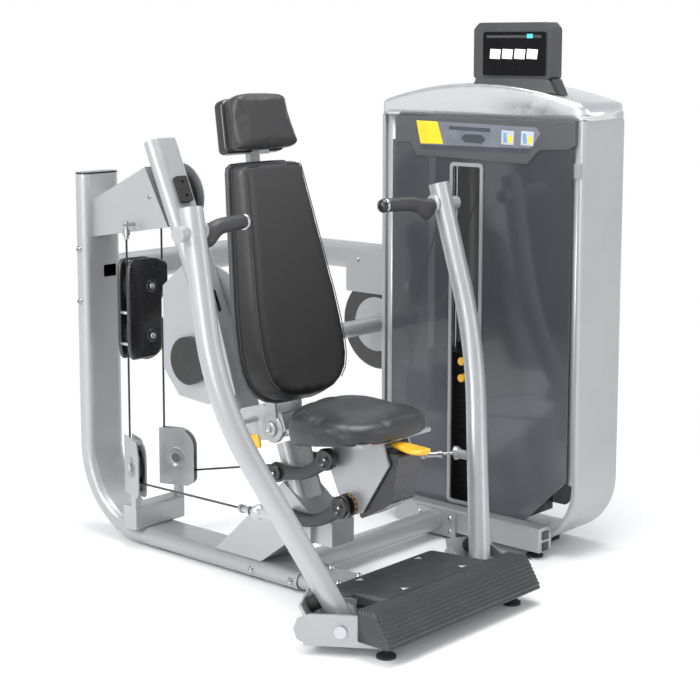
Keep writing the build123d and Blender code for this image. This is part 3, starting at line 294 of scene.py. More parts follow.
SILVER = (0.41, 0.42, 0.43)
finishes = {
    "silver_frame": paint("silver_frame", SILVER, 0.36, 0.45, 0.12, 0.25),
    "black_paint": paint("black_paint", (0.012, 0.012, 0.013), 0.24, 0.0, 0.05, 0.7),
    "graphite": paint("graphite", (0.66, 0.67, 0.69), 0.22, 0.8, 0.04, 0.5),
    "plate_steel": paint("plate_steel", (0.37, 0.38, 0.39), 0.34, 0.5, 0.08, 0.2),
    "bolt_chrome": steel("bolt_chrome", (0.5, 0.5, 0.52), 0.2, (4, 4, 4)),
    "rod_chrome": steel("rod_chrome", (0.62, 0.68, 0.76), 0.12, (1, 1, 20)),
    "black_rubber": plastic("black_rubber", (0.018, 0.018, 0.018), 0.7),
    "grip_rubber": plastic("grip_rubber", (0.035, 0.035, 0.037), 0.4, 1200, 0.3),
    "black_plastic": plastic("black_plastic", (0.012, 0.0125, 0.0135), 0.3, 1100, 0.2, 0.3),
    "tread_plastic": plastic("tread_plastic", (0.03, 0.031, 0.033), 0.42, 1300, 0.3, 0.1),
    "console_plastic": plastic("console_plastic", (0.045, 0.046, 0.048), 0.38),
    "header_grey": paint("header_grey", (0.085, 0.088, 0.094), 0.42, 0.25, 0.08, 0.1),
    "stack_iron": plastic("stack_iron", (0.012, 0.012, 0.013), 0.45, 500, 0.5),
    "pulley_nylon": plastic("pulley_nylon", (0.02, 0.02, 0.022), 0.4),
    "cable_black": plastic("cable_black", (0.012, 0.012, 0.012), 0.35),
    "yellow_lever": plastic("yellow_lever", (0.78, 0.44, 0.02), 0.3, 800, 0.1, 0.4),
    # Upholstery: painted shade by height, the foot colour is the shaded low part and the head colour the
    # lit top.
    "upholstery": vinyl_leather_painted_shade("upholstery", (0.004, 0.004, 0.0043), (0.034, 0.034, 0.035), 0.1),
    # Lit copy of the same vinyl: painted lighter than the backrest's shaded foot, a painted highlight on
    # the seat top.
    "seat_vinyl_painted_light": vinyl_leather_painted_shade("seat_vinyl_painted_light", (0.03, 0.031, 0.033), (0.04, 0.041, 0.043), 0.35),
    "smoked_panel": smoked_acrylic(),
    "screen_glass": plastic("screen_glass", (0.004, 0.004, 0.005), 0.3, 900, 0.02, 0.0, 0.12),
    "tile_white": emissive("tile_white", (0.8, 0.82, 0.84), 0.35),
    "tab_cyan": emissive("tab_cyan", (0.05, 0.45, 0.65), 0.6),
    "label_yellow": plastic("label_yellow", (0.9, 0.62, 0.02), 0.35),
    "label_grey": plastic("label_grey", (0.46, 0.49, 0.53), 0.35),
    "placard_grey": plastic("placard_grey", (0.15, 0.165, 0.19), 0.4),
    "label_dark": plastic("label_dark", (0.05, 0.055, 0.07), 0.35),
    "label_blue": plastic("label_blue", (0.16, 0.3, 0.55), 0.35),
    "orange_mark": plastic("orange_mark", (0.75, 0.3, 0.02), 0.45),
}
slot_of = {part["node"]: part["material_slot"] for part in frame["record"]["subparts"]}
known_slots = {entry["slot"] for entry in frame["record"]["materials"]}


def finish_cad_nodes():
    """Gives every carried-over CAD node its procedural material."""
    chosen = {"footplate_cover": "tread_plastic"}
    for name, obj in nodes.items():
        obj.data.materials.clear()
        obj.data.materials.append(finishes[chosen.get(name, slot_of[name])])


def paint_faces(node, finish, picks):
    """Gives the faces of a CAD node whose centre passes a test another finish."""
    mesh = nodes[node].data
    mesh.materials.append(finishes[finish])
    index = len(mesh.materials) - 1
    for face in mesh.polygons:
        if picks(face.center):
            face.material_index = index


# ---------------------------------------------------------------- mesh tools
def new_piece(name, mesh_or_bm, finish, body, slot=None, replaces=(), smooth=True):
    """Turns a bmesh into a finished piece that rides on a body."""
    mesh = bpy.data.meshes.new(name)
    mesh_or_bm.to_mesh(mesh)
    mesh_or_bm.free()
    obj = bpy.data.objects.new(name, mesh)
    scene.collection.objects.link(obj)
    mesh.materials.append(finishes[finish])
    for face in mesh.polygons:
        face.use_smooth = smooth
    return settle(obj, finish, body, slot, replaces)


def settle(obj, finish, body, slot=None, replaces=()):
    """Rides a piece on its body and stands it in for its CAD nodes."""
    slot = slot or (finish if finish in known_slots else "black_plastic")
    if body:
        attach(obj, body)
    if replaces:
        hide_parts(*replaces)
    return obj


def rings_to_mesh(rings, closed_ends=True):
    """Skin over a list of rings of equal length."""
    bm = bmesh.new()
    rows = [[bm.verts.new(point) for point in ring] for ring in rings]
    count = len(rows[0])
    for first, second in zip(rows, rows[1:]):
        for i in range(count):
            j = (i + 1) % count
            bm.faces.new((first[i], first[j], second[j], second[i]))
    if closed_ends:
        bm.faces.new(reversed(rows[0]))
        bm.faces.new(rows[-1])
    bmesh.ops.recalc_face_normals(bm, faces=bm.faces)
    return bm


def inset_outline(outline, inset):
    """Moves each point of a closed 2-D outline inwards."""
    area = sum(a.x * b.y - b.x * a.y for a, b in zip(outline, outline[1:] + outline[:1]))
    turn = 1 if area > 0 else -1
    moved = []
    for i, point in enumerate(outline):
        tangent = outline[(i + 1) % len(outline)] - outline[i - 1]
        inward = Vector((-tangent.y, tangent.x)).normalized() * turn
        moved.append(point + inward * inset)
    return moved


def smooth_outline(corners, per_side=8, softness=0.25):
    """Closed outline through straight runs joined by rounded corners."""
    points = []
    count = len(corners)
    for i in range(count):
        before, corner, after = (Vector(corners[(i + k) % count]) for k in (-1, 0, 1))
        near = corner.lerp(before, softness)
        far = corner.lerp(after, softness)
        for step in range(per_side + 1):
            t = step / per_side
            points.append(near.lerp(corner, t).lerp(corner.lerp(far, t), t))
        points.append(corner.lerp(after, 0.5))
    return points


class Axes:
    """Local frame: origin, across, along and outward directions."""

    def __init__(self, origin, across, along):
        self.origin, self.across, self.along = Vector(origin), Vector(across), Vector(along)
        self.out = self.across.cross(self.along).normalized()

    def at(self, x, y, z=0.0):
        return self.origin + self.across * x + self.along * y + self.out * z


def stack(axes, outline, levels, lift=None):
    """Closed form from one outline repeated at (height, inset) levels; lift may change a point's height."""
    rings = []
    for height, inset in levels:
        points = inset_outline(outline, inset)
        rings.append([axes.at(p.x, p.y, lift(p, height) if lift else height) for p in points])
    return rings_to_mesh(rings)


def rounded_levels(bottom, top, radius, steps=4):
    """Levels of a slab with rounded rims."""
    levels = [(bottom + radius - radius * math.cos(math.pi / 2 * i / steps),
               radius * (1 - math.sin(math.pi / 2 * i / steps))) for i in range(steps + 1)]
    levels += [(top - radius + radius * math.sin(math.pi / 2 * i / steps),
                radius * (1 - math.cos(math.pi / 2 * i / steps))) for i in range(steps + 1)]
    return levels


def ring_points(axes, radius, height, count):
    return [axes.at(radius * math.cos(2 * math.pi * i / count),
        radius * math.sin(2 * math.pi * i / count), height) for i in range(count)]


def lathe(axes, profile, count=48):
    """Turned piece about the axes' outward direction, from (radius, height) pairs."""
    return rings_to_mesh([ring_points(axes, radius, height, count) for radius, height in profile])


def frame_about(centre, direction):
    """Axes whose outward direction is the given one."""
    direction = Vector(direction).normalized()
    across = direction.orthogonal().normalized()
    return Axes(centre, across, direction.cross(across))


def tube(points, radius, count=14):
    """Round tube along the points, with closed ends."""
    curve = bpy.data.curves.new("path", "CURVE")
    curve.dimensions = "3D"
    spline = curve.splines.new("POLY")
    spline.points.add(len(points) - 1)
    for target, point in zip(spline.points, points):
        target.co = (*point, 1)
    curve.bevel_depth, curve.bevel_resolution, curve.use_fill_caps = radius, count // 4, True
    holder = bpy.data.objects.new("path", curve)
    mesh = bpy.data.meshes.new_from_object(holder)
    bm = bmesh.new()
    bm.from_mesh(mesh)
    bpy.data.objects.remove(holder)
    bpy.data.curves.remove(curve)
    bpy.data.meshes.remove(mesh)
    return bm


def line(start, end, count):
    start, end = Vector(start), Vector(end)
    return [start.lerp(end, i / count) for i in range(count + 1)]


def arc(centre, first, second, count=16):
    """Quarter or half turn from first to second about a centre, through their sum's side."""
    centre = Vector(centre)
    a, b = Vector(first) - centre, Vector(second) - centre
    side = b - a * (a.dot(b) / a.length_squared)
    side = side.normalized() * a.length
    angle = a.angle(b)
    return [centre + a * math.cos(angle * i / count) + side * math.sin(angle * i / count)
        for i in range(count + 1)]


# ---------------------------------------------------------------- upholstery
def swell(obj, voxel, cap, pressure=4.0):
    """Cloth simulation that fills a pad out, with each point's motion capped."""
    remesh = obj.modifiers.new("remesh", "REMESH")
    remesh.mode, remesh.voxel_size, remesh.use_smooth_shade = "VOXEL", voxel, True
    bake_modifiers(obj)
    start = [vertex.co.copy() for vertex in obj.data.vertices]
    cloth = obj.modifiers.new("cloth", "CLOTH")
    cloth.settings.quality = 5
    cloth.settings.mass = 0.3
    cloth.settings.tension_stiffness = 18
    cloth.settings.compression_stiffness = 18
    cloth.settings.shear_stiffness = 8
    cloth.settings.bending_stiffness = 2
    cloth.settings.use_pressure = True
    cloth.settings.uniform_pressure_force = pressure
    cloth.settings.effector_weights.gravity = 0
    cloth.point_cache.frame_start, cloth.point_cache.frame_end = 1, 20
    for number in range(1, 21):
        scene.frame_set(number)
    bake_modifiers(obj)
    for vertex, before in zip(obj.data.vertices, start):
        move = vertex.co - before
        if move.length > cap:
            vertex.co = before + move.normalized() * cap
    scene.frame_set(1)


def bake_modifiers(obj):
    """Turns what the modifiers make into the piece's own mesh."""
    bpy.context.view_layer.update()
    evaluated = obj.evaluated_get(bpy.context.evaluated_depsgraph_get())
    mesh = bpy.data.meshes.new_from_object(evaluated)
    obj.modifiers.clear()
    obj.data = mesh
    for face in mesh.polygons:
        face.use_smooth = True


def relax(obj, rounds, factor=0.5):
    """Evens the surface out."""
    bm = bmesh.new()
    bm.from_mesh(obj.data)
    for _ in range(rounds):
        bmesh.ops.smooth_vert(bm, verts=bm.verts, factor=factor, use_axis_x=True, use_axis_y=True,
            use_axis_z=True)
    bm.to_mesh(obj.data)
    bm.free()


def pad(name, bm, body, node, cap=0.006, voxel=0.006, seam=None, vinyl="upholstery"):
    """Upholstered pad from a closed form: swollen, relaxed, then sewn."""
    mesh = bpy.data.meshes.new(name)
    bm.to_mesh(mesh)
    bm.free()
    obj = bpy.data.objects.new(name, mesh)
    scene.collection.objects.link(obj)
    swell(obj, voxel, cap)
    relax(obj, 3)
    if seam:
        for vertex in obj.data.vertices:
            vertex.co += seam(vertex.co)
    obj.data.materials.clear()
    obj.data.materials.append(finishes[vinyl])
    subdivision = obj.modifiers.new("subdivision", "SUBSURF")
    subdivision.levels = subdivision.render_levels = 1
    settle(obj, "upholstery", body, "upholstery", [node])
    return obj


PAD_RECLINE = math.radians(10.6)
pad_axes = Axes((0, -0.131, 0.563), (1, 0, 0), (0, math.sin(PAD_RECLINE), math.cos(PAD_RECLINE)))
PAD_LENGTH = 0.722


def back_outline(margin):
    """Half-widths up the back pad, as a closed outline."""
    stations = [(0.0, 0.0), (0.06, 0.003), (0.105, 0.014), (0.145, 0.036), (0.174, 0.068), (0.190, 0.110),
        (0.196, 0.165), (0.194, 0.23), (0.187, 0.31), (0.177, 0.38), (0.168, 0.45), (0.159, 0.52),
        (0.150, 0.59), (0.141, 0.655), (0.136, 0.694), (0.130, 0.710), (0.112, 0.7205), (0.06, 0.722),
        (0.0, PAD_LENGTH)]
    right = [Vector(point) for point in stations]
    left = [Vector((-x, y)) for x, y in reversed(stations[1:-1])]
    return inset_outline(right + left, margin)


def add_back_pad():
    """Shell, groove and faceted cushion of the backrest."""
    def wedge(place, height):
        """The cushion is thicker near its foot."""
        return height if height < 0 else height * (1 + (1 - place.y / PAD_LENGTH))

    cushion = stack(pad_axes, back_outline(0.003), [(-0.021, 0.010), (-0.016, 0.003), (-0.008, 0.0),
        (0.006, 0.001), (0.018, 0.004), (0.027, 0.008), (0.0325, 0.013), (0.0345, 0.022),
        (0.0352, 0.040)], wedge)
    pad("back_cushion_cover", cushion, "back_pad", "back_cushion", cap=0.004)
    shell = stack(pad_axes, back_outline(0.0), rounded_levels(-0.040, -0.023, 0.006))
    piece = new_piece("back_shell_moulding", shell, "black_plastic", "back_pad", "black_plastic",
        ["back_shell"])
    piece.data.materials[0] = finishes["console_plastic"]
    groove = stack(pad_axes, back_outline(0.010), [(-0.025, 0), (-0.015, 0)])
    new_piece("back_groove", groove, "black_rubber", "back_pad", "black_plastic")
    welt = [pad_axes.at(p.x, p.y, wedge(p, 0.0335)) for p in back_outline(0.0182) if 0.05 < p.y < 0.705]
    left_side = [point for point in welt if point.x < -0.05]
    right_side = [point for point in welt if point.x > 0.05]
    for side, run in (("left", left_side), ("right", right_side)):
        new_piece(f"back_welt_{side}", tube(run, 0.0016, 8), "grip_rubber", "back_pad", "upholstery")


def add_headrest():
    """Two-layer headrest above the backrest."""
    tilt = math.radians(16)
    axes = Axes((0, 0.024, 1.298), (1, 0, 0), (0, math.sin(tilt), math.cos(tilt)))
    corners = [(-0.127, 0.0), (0.127, 0.0), (0.104, 0.163), (-0.104, 0.163)]
    outline = smooth_outline(corners, 6, 0.12)
    for point in outline:
        point.y += 0.006 * (1 - (point.x / 0.1) ** 2) * (1 if point.y > 0.08 else 0)
    front = stack(axes, outline, [(0.002, 0.008), (0.008, 0.002), (0.028, 0.0), (0.048, 0.003),
        (0.058, 0.010), (0.060, 0.024)])
    pad("headrest_cover", front, "back_pad", "headrest", cap=0.004, voxel=0.005)
    shell = stack(axes, outline, rounded_levels(-0.048, -0.006, 0.012))
    new_piece("headrest_shell", shell, "black_plastic", "back_pad", "upholstery")
    inner = stack(axes, inset_outline(outline, 0.008), [(-0.012, 0), (0.012, 0)])
    new_piece("headrest_groove", inner, "black_rubber", "back_pad", "black_plastic")


SEAT_HALF_WIDTH, SEAT_HALF_DEPTH = 0.198, 0.166
SEAT_MIDDLE = -0.371


def seat_ring(level, inset, count=72):
    """One ring of the seat: blunt at the rear, rounder at the front, its crown raised at the rear."""
    ring = []
    for i in range(count):
        turn = 2 * math.pi * i / count
        c, s = math.cos(turn), math.sin(turn)
        blunt = 0.54 if s > 0 else 0.72
        x = math.copysign(abs(c) ** blunt, c) * (SEAT_HALF_WIDTH - inset)
        y = math.copysign(abs(s) ** blunt, s) * (SEAT_HALF_DEPTH - inset)
        back = y / SEAT_HALF_DEPTH
        x *= 1 - 0.09 * max(0.0, back) - 0.03 * max(0.0, -back)
        skirt = 0.484 + 0.024 * max(0.0, min(1.0, 0.5 - back)) - 0.003 * abs(x) / 0.2
        crown = 0.571 + 0.012 * max(0.0, back) - 0.006 * abs(x) / 0.2 - 0.010 * max(0.0, -back - 0.4)
        ring.append(Vector((x, SEAT_MIDDLE + y, skirt + (crown - skirt) * level)))
    return ring


def add_seat():
    """Thick saddle-shaped seat cushion that wraps its steel pan."""
    rings = [seat_ring(level, inset) for level, inset in ((0.05, 0.030), (0.0, 0.014), (0.03, 0.004),
        (0.16, 0.0), (0.45, 0.0), (0.68, 0.003), (0.84, 0.010), (0.94, 0.022), (0.985, 0.042),
        (1.0, 0.075), (1.0, 0.14))]

    def saddle(place):
        """Hump at the rear and a shallow dish along the middle."""
        across, back = place.x / 0.2, (place.y - SEAT_MIDDLE) / SEAT_HALF_DEPTH
        top = max(0.0, min(1.0, (place.z - 0.545) / 0.02))
        hump = 0.010 * math.exp(-((back - 0.62) / 0.3) ** 2) * math.exp(-(across / 0.5) ** 2)
        dish = -0.008 * math.exp(-((back + 0.1) / 0.35) ** 2) * math.exp(-(across / 0.45) ** 2)
        return Vector((0, 0, (hump + dish) * top))

    # The cover takes the lit copy of the vinyl, painted lighter for the light on the seat top.
    pad("seat_cover", rings_to_mesh(rings), "seat", "seat_cushion", cap=0.005, voxel=0.005, seam=saddle,
        vinyl="seat_vinyl_painted_light")


# ---------------------------------------------------------------- moving details
def add_grip(side):
    """Rubber grip with a palm swell beside the arm, a chrome ring and an end cap."""
    name = "left" if side < 0 else "right"
    body = f"{name}_press_arm"
    root, tip = Vector((side * 0.529, -0.248, 1.122)), Vector((side * 0.296, -0.211, 1.128))
    along = (tip - root).normalized()
    start = root + along * 0.038
    length = (tip - along * 0.010 - start).length
    down = Vector((0, 0, -1)) - along * along.dot(Vector((0, 0, -1)))
    down.normalize()
    across = along.cross(down)
    rings = []
    steps = 40
    for i in range(steps + 1):
        t = i / steps
        swell_here = math.exp(-((t - 0.14) / 0.19) ** 2)
        radius = 0.0205 + 0.0045 * swell_here + 0.001 * math.sin(t * 3.1)
        radius *= min(1.0, 0.72 + 9 * min(t, 1 - t) ** 0.9) if min(t, 1 - t) < 0.03 else 1.0
        centre = start + along * (length * t) + down * (0.013 * swell_here - 0.002)
        drop = 1 + 0.55 * swell_here
        rings.append([centre + across * (radius * math.cos(a))
            + down * (radius * (drop if math.sin(a) > 0 else 1) * math.sin(a))
            for a in (2 * math.pi * k / 28 for k in range(28))])
    new_piece(f"{name}_grip_rubber", rings_to_mesh(rings), "grip_rubber", body, "grip_rubber",
        [f"{name}_grip"])
    ring = lathe(frame_about(tip - along * 0.012, along),
        [(0.0205, 0), (0.0225, 0.002), (0.0225, 0.008), (0.0205, 0.010)])
    new_piece(f"{name}_grip_ring", ring, "bolt_chrome", body)
    cap = lathe(frame_about(tip, along), [(0.0215, 0), (0.0215, 0.004), (0.018, 0.011), (0.009, 0.016),
        (0.001, 0.0175)])
    new_piece(f"{name}_grip_cap", cap, "black_plastic", body)
    collar = lathe(frame_about(root + along * 0.026, along),
        [(0.024, 0), (0.028, 0.002), (0.028, 0.009), (0.024, 0.012)])
    new_piece(f"{name}_grip_collar", collar, "silver_frame", body)


def hub(name, centre, direction, radius, depth, body):
    """Black pivot cap with a bright screw in the middle."""
    axes = frame_about(centre, direction)
    cap = lathe(axes, [(radius, 0), (radius, depth * 0.7), (radius * 0.93, depth), (radius * 0.62, depth),
                       (radius * 0.58, depth * 0.86), (0.001, depth * 0.84)])
    new_piece(name, cap, "black_plastic", body)
    screw = lathe(Axes(axes.at(0, 0, depth * 0.84), axes.across, axes.along),
        [(0.0052, 0), (0.0052, 0.002), (0.0036, 0.0034), (0.0022, 0.0034), (0.0018, 0.0014),
        (0.0005, 0.0013)], 24)
    new_piece(name + "_screw", screw, "bolt_chrome", body)


def add_links():
    """Cast link arms of the seat: swept arms with a waist, and pivot caps."""
    reach = Vector((0, -0.204, 0.075))
    for node, body, rear in (("lower_link", "seat_lower_link", Vector((0, -0.180, 0.231))),
                             ("upper_link", "seat_upper_link", Vector((0, -0.126, 0.362)))):
        pieces = []
        for side in (-1, 1):
            along = reach.normalized()
            up = Vector((0, 0, 1)) - along * along.z
            up.normalize()
            rings = []
            steps = 28
            for i in range(steps + 1):
                t = -0.09 + 1.18 * i / steps
                sag = -0.022 * math.sin(math.pi * max(0, min(1, t))) ** 1.5
                waist = 0.0185 + 0.0125 * (abs(2 * t - 1)) ** 2.2
                if t < 0 or t > 1:
                    over = (-t if t < 0 else t - 1) / 0.09
                    waist *= math.sqrt(max(0.02, 1 - over * over * 0.9))
                centre = rear + reach * t + up * sag + Vector((side * 0.082, 0, 0))
                ring = []
                for k in range(20):
                    a = 2 * math.pi * k / 20
                    c, s = math.cos(a), math.sin(a)
                    ring.append(centre + up * (waist * math.copysign(abs(c) ** 0.6, c))
                                + Vector((0.0115 * math.copysign(abs(s) ** 0.55, s), 0, 0)))
                rings.append(ring)
            piece = new_piece(f"{node}_{'left' if side < 0 else 'right'}", rings_to_mesh(rings),
                "black_plastic", body, "black_paint")
            pieces.append(piece)
            for end, place in (("front", rear + reach), ("rear", rear)):
                hub(f"{node}_{end}_cap_{'left' if side < 0 else 'right'}",
                    place + Vector((side * 0.088, 0, 0)), (side, 0, 0),
                    0.0325 if end == "front" else 0.027, 0.018, body)
        cross = lathe(frame_about(rear + reach - Vector((0.07, 0, 0)), (1, 0, 0)),
            [(0.0098, 0), (0.0098, 0.14)])
        rod = new_piece(f"{node}_cross_rod", cross, "bolt_chrome", body, "black_paint")
        for piece in pieces + [rod]:
            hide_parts(node)


def add_block():
    """Glossy rounded housing of the floating pulleys, with its two screws."""
    outline = smooth_outline([(-0.095, 0.612), (-0.095, 0.936), (0.022, 0.936), (0.075, 0.915),
        (0.075, 0.845), (0.048, 0.815), (0.048, 0.640), (0.020, 0.612)], 6, 0.22)
    for name, y in (("block_front", 0.512), ("block_rear", 0.557)):
        axes = Axes((0, y + 0.016, 0), (1, 0, 0), (0, 0, 1))
        shell = stack(axes, outline, rounded_levels(0.0, 0.016, 0.0075))
        new_piece(name, shell, "black_paint", "floating_block", "black_paint", ["block_housing"])
    for name, z in (("block_screw_upper", 0.846), ("block_screw_lower", 0.684)):
        axes = frame_about((0, 0.512, z), (0, -1, 0))
        new_piece(name + "_washer", lathe(axes, [(0.021, -0.001), (0.021, 0.0015), (0.018, 0.003),
            (0.001, 0.003)]), "black_paint", "floating_block")
        new_piece(name, lathe(axes, [(0.010, 0.003), (0.010, 0.006), (0.008, 0.0085), (0.005, 0.0085),
            (0.0045, 0.004), (0.001, 0.004)], 6 * 5), "bolt_chrome", "floating_block")
        back = frame_about((0, 0.573, z), (0, 1, 0))
        new_piece(name + "_nut", lathe(back, [(0.012, 0), (0.012, 0.006), (0.007, 0.009),
            (0.001, 0.009)]), "bolt_chrome", "floating_block")
    for name, x, z, radius in (("left_upper", -0.088, 0.765, 0.005), ("left_lower", -0.088, 0.664, 0.005),
                               ("top", -0.060, 0.925, 0.007), ("right", 0.040, 0.765, 0.006)):
        spacer = lathe(frame_about((x, 0.525, z), (0, 1, 0)), [(radius, 0), (radius, 0.036)], 20)
        new_piece(f"block_spacer_{name}", spacer, "plate_steel", "floating_block")


def paddle(name, node, body, centre_line, widths, thick, direction):
    """Moulded lever blade along a centre line, with its widths across one direction."""
    rings = []
    direction = Vector(direction)
    for i, (point, width) in enumerate(zip(centre_line, widths)):
        ahead = centre_line[min(i + 1, len(centre_line) - 1)]
        behind = centre_line[max(i - 1, 0)]
        along = (Vector(ahead) - Vector(behind)).normalized()
        up = along.cross(direction).normalized()
        rings.append([Vector(point) + direction * (width * math.copysign(abs(math.cos(a)) ** 0.7,
            math.cos(a))) + up * (thick * math.copysign(abs(math.sin(a)) ** 0.8, math.sin(a)))
            for a in (2 * math.pi * k / 20 for k in range(20))])
    piece = new_piece(name, rings_to_mesh(rings), "yellow_lever", body, "yellow_lever",
        [node] if node else ())
    subdivision = piece.modifiers.new("subdivision", "SUBSURF")
    subdivision.levels = subdivision.render_levels = 1
    return piece


def add_levers():
    """Yellow release levers of the seat and the back pad."""
    blade = [(0, -0.497, 0.494), (0, -0.510, 0.494), (0, -0.530, 0.493), (0, -0.560, 0.489),
        (0, -0.595, 0.487), (0, -0.617, 0.489), (0, -0.622, 0.490)]
    paddle("seat_lever_blade", "seat_lever", "seat_release", blade,
        [0.014, 0.020, 0.026, 0.034, 0.038, 0.028, 0.012], 0.0085, (1, 0, 0))
    handle = [(-0.159, -0.062, 0.470), (-0.159, -0.075, 0.466), (-0.159, -0.095, 0.463),
        (-0.159, -0.118, 0.466), (-0.159, -0.129, 0.470)]
    paddle("back_lever_blade", "back_lever", "back_release", handle, [0.006, 0.009, 0.0095, 0.009, 0.005],
        0.021, (1, 0, 0))
    stem = tube([(-0.159, -0.005, 0.498), (-0.159, -0.03, 0.488), (-0.159, -0.07, 0.468)], 0.007)
    new_piece("back_lever_stem", stem, "bolt_chrome", "back_release")
    shaft = lathe(frame_about((0.045, -0.005, 0.498), (-1, 0, 0)),
        [(0.008, 0), (0.009, 0.001), (0.009, 0.212), (0.007, 0.213)])
    new_piece("back_lever_shaft", shaft, "silver_frame", "back_release")


# ---------------------------------------------------------------- cables
CABLE = 0.0034
GUIDE_YAW = math.radians(21.11)


def add_cables():
    """Coated steel cables laid along and around their pulleys."""
    fall_x, fall_y, block_r = 0.0745, 0.543, 0.0745
    for side, name in ((-1, "left"), (1, "right")):
        out = Vector((side * math.sin(GUIDE_YAW), -math.cos(GUIDE_YAW), 0))
        centre = Vector((side * fall_x, fall_y, 0.270)) + out * 0.050
        bottom = centre - Vector((0, 0, 0.050))
        clevis = Vector((side * 0.434, -0.388, 0.366))
        run = (clevis - bottom).normalized()
        end = clevis - run * 0.112
        piece = new_piece(f"{name}_press_cable_run", tube(line(bottom, end, 60), CABLE), "cable_black",
            None, "cable_black", [f"{name}_press_cable"])
        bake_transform(piece)
        rise = arc(centre, bottom, (side * fall_x, fall_y, 0.270), 14)
        rise += line((side * fall_x, fall_y, 0.28), (side * fall_x, fall_y, 0.684), 50)
        rise += arc((0, fall_y, 0.684), (side * fall_x, fall_y, 0.684), (0, fall_y, 0.684 + block_r),
            14)[1:]
        riser = new_piece(f"{name}_riser_cable", tube(rise, CABLE), "cable_black", None, "cable_black",
            ["riser_cable"])
        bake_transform(riser)
    over = 1.130
    fall = line((-fall_x, fall_y, 1.0), (-fall_x, fall_y, 0.85), 24)
    fall += arc((0, fall_y, 0.846), (-fall_x, fall_y, 0.846), (0, fall_y, 0.846 - block_r), 12)
    fall += arc((0, fall_y, 0.846), (0, fall_y, 0.846 - block_r), (fall_x, fall_y, 0.846), 12)[1:]
    fall += line((fall_x, fall_y, 0.85), (fall_x, fall_y, over), 40)
    piece = new_piece("drive_cable_block_side", tube(fall, CABLE), "cable_black", None, "cable_black",
        ["drive_cable"])
    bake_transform(piece)
    top = Vector((fall_x, 0.468, over))
    leave = Vector((fall_x, 0.3933, 1.1368))
    drum = arc(top, (fall_x, fall_y, over), top + Vector((0, 0, 0.075)), 12)
    drum += arc(top, top + Vector((0, 0, 0.075)), leave, 12)[1:]
    drum += line(leave, (fall_x, 0.3477, 0.6349), 20)[1:]
    new_piece("drive_cable_drum_side", tube(drum, CABLE), "cable_black", "frame", "cable_black",
        ["drive_cable"])
    low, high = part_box("stack_cable")
    x = (low.x + high.x) / 2
    pulley = Vector((x, -0.146, 1.310))
    rise = line((x, -0.206, low.z), (x, -0.206, 1.310), 60)
    piece = new_piece("stack_cable_rise", tube(rise, CABLE), "cable_black", None, "cable_black",
        ["stack_cable"])
    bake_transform(piece)
    leave = Vector((x, -0.0893, 1.3296))
    rest = arc(pulley, (x, -0.206, 1.310), pulley + Vector((0, 0, 0.06)), 12) + arc(pulley,
        pulley + Vector((0, 0, 0.06)), leave, 8)[1:]
    rest += line(leave, (x, 0.1613, 0.6074), 30)[1:]
    new_piece("stack_cable_fall", tube(rest, CABLE), "cable_black", "frame", "cable_black", ["stack_cable"])


# ---------------------------------------------------------------- tower details
def plate_on_tower(name, outline, x, thick, finish, slot="header_grey"):
    """Thin label or trim on the tower's face, from (Y, Z) corners."""
    flipped = Axes((x, 0, 0), (0, -1, 0), (0, 0, 1))
    points = [Vector((-y, z)) for y, z in outline]
    shell = stack(flipped, points, [(0.0, 0.0), (thick, 0.0), (thick + 0.0004, 0.0006)])
    return new_piece(name, shell, finish, "frame", slot, smooth=False)


def add_header():
    """Instruction placard: generic fields and pictograms."""
    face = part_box("header_panel")[0].x
    step = 0.0009
    rounded = smooth_outline([(-0.001, 1.366), (-0.476, 1.358), (-0.491, 1.339), (-0.445, 1.277),
        (-0.023, 1.273)], 4, 0.06)
    plate_on_tower("placard_field", [(p.x, p.y) for p in rounded], face, step, "placard_grey")
    plate_on_tower("placard_strip", [(-0.445, 1.2775), (-0.024, 1.2735), (-0.020, 1.288),
        (-0.456, 1.292)], face - step, 0.0006, "label_dark")
    plate_on_tower("placard_tab", [(-0.001, 1.3655), (-0.088, 1.364), (-0.112, 1.293), (-0.0185, 1.291)],
        face - step, 0.0008, "label_yellow")
    plate_on_tower("placard_title", [(-0.135, 1.352), (-0.300, 1.349), (-0.300, 1.337), (-0.135, 1.340)],
        face - step, 0.0006, "label_dark")
    hexagon = [(-0.185, 1.315), (-0.200, 1.328), (-0.268, 1.327), (-0.283, 1.313), (-0.268, 1.300),
        (-0.200, 1.301)]
    plate_on_tower("placard_hexagon", hexagon, face - step, 0.0006, "label_dark")
    for number, y in enumerate((-0.345, -0.420)):
        plate_on_tower(f"pictogram_{number}", [(y, 1.345), (y - 0.048, 1.344), (y - 0.046, 1.300),
            (y + 0.002, 1.301)], face - step, 0.0006, "label_grey")
        plate_on_tower(f"pictogram_machine_{number}", [(y - 0.006, 1.338), (y - 0.018, 1.338),
            (y - 0.022, 1.308), (y - 0.008, 1.306)], face - step - 0.0007, 0.0006, "label_blue")
        plate_on_tower(f"pictogram_tab_{number}", [(y - 0.024, 1.330), (y - 0.040, 1.328),
            (y - 0.040, 1.308), (y - 0.026, 1.306)], face - step - 0.0007, 0.0006, "label_yellow")


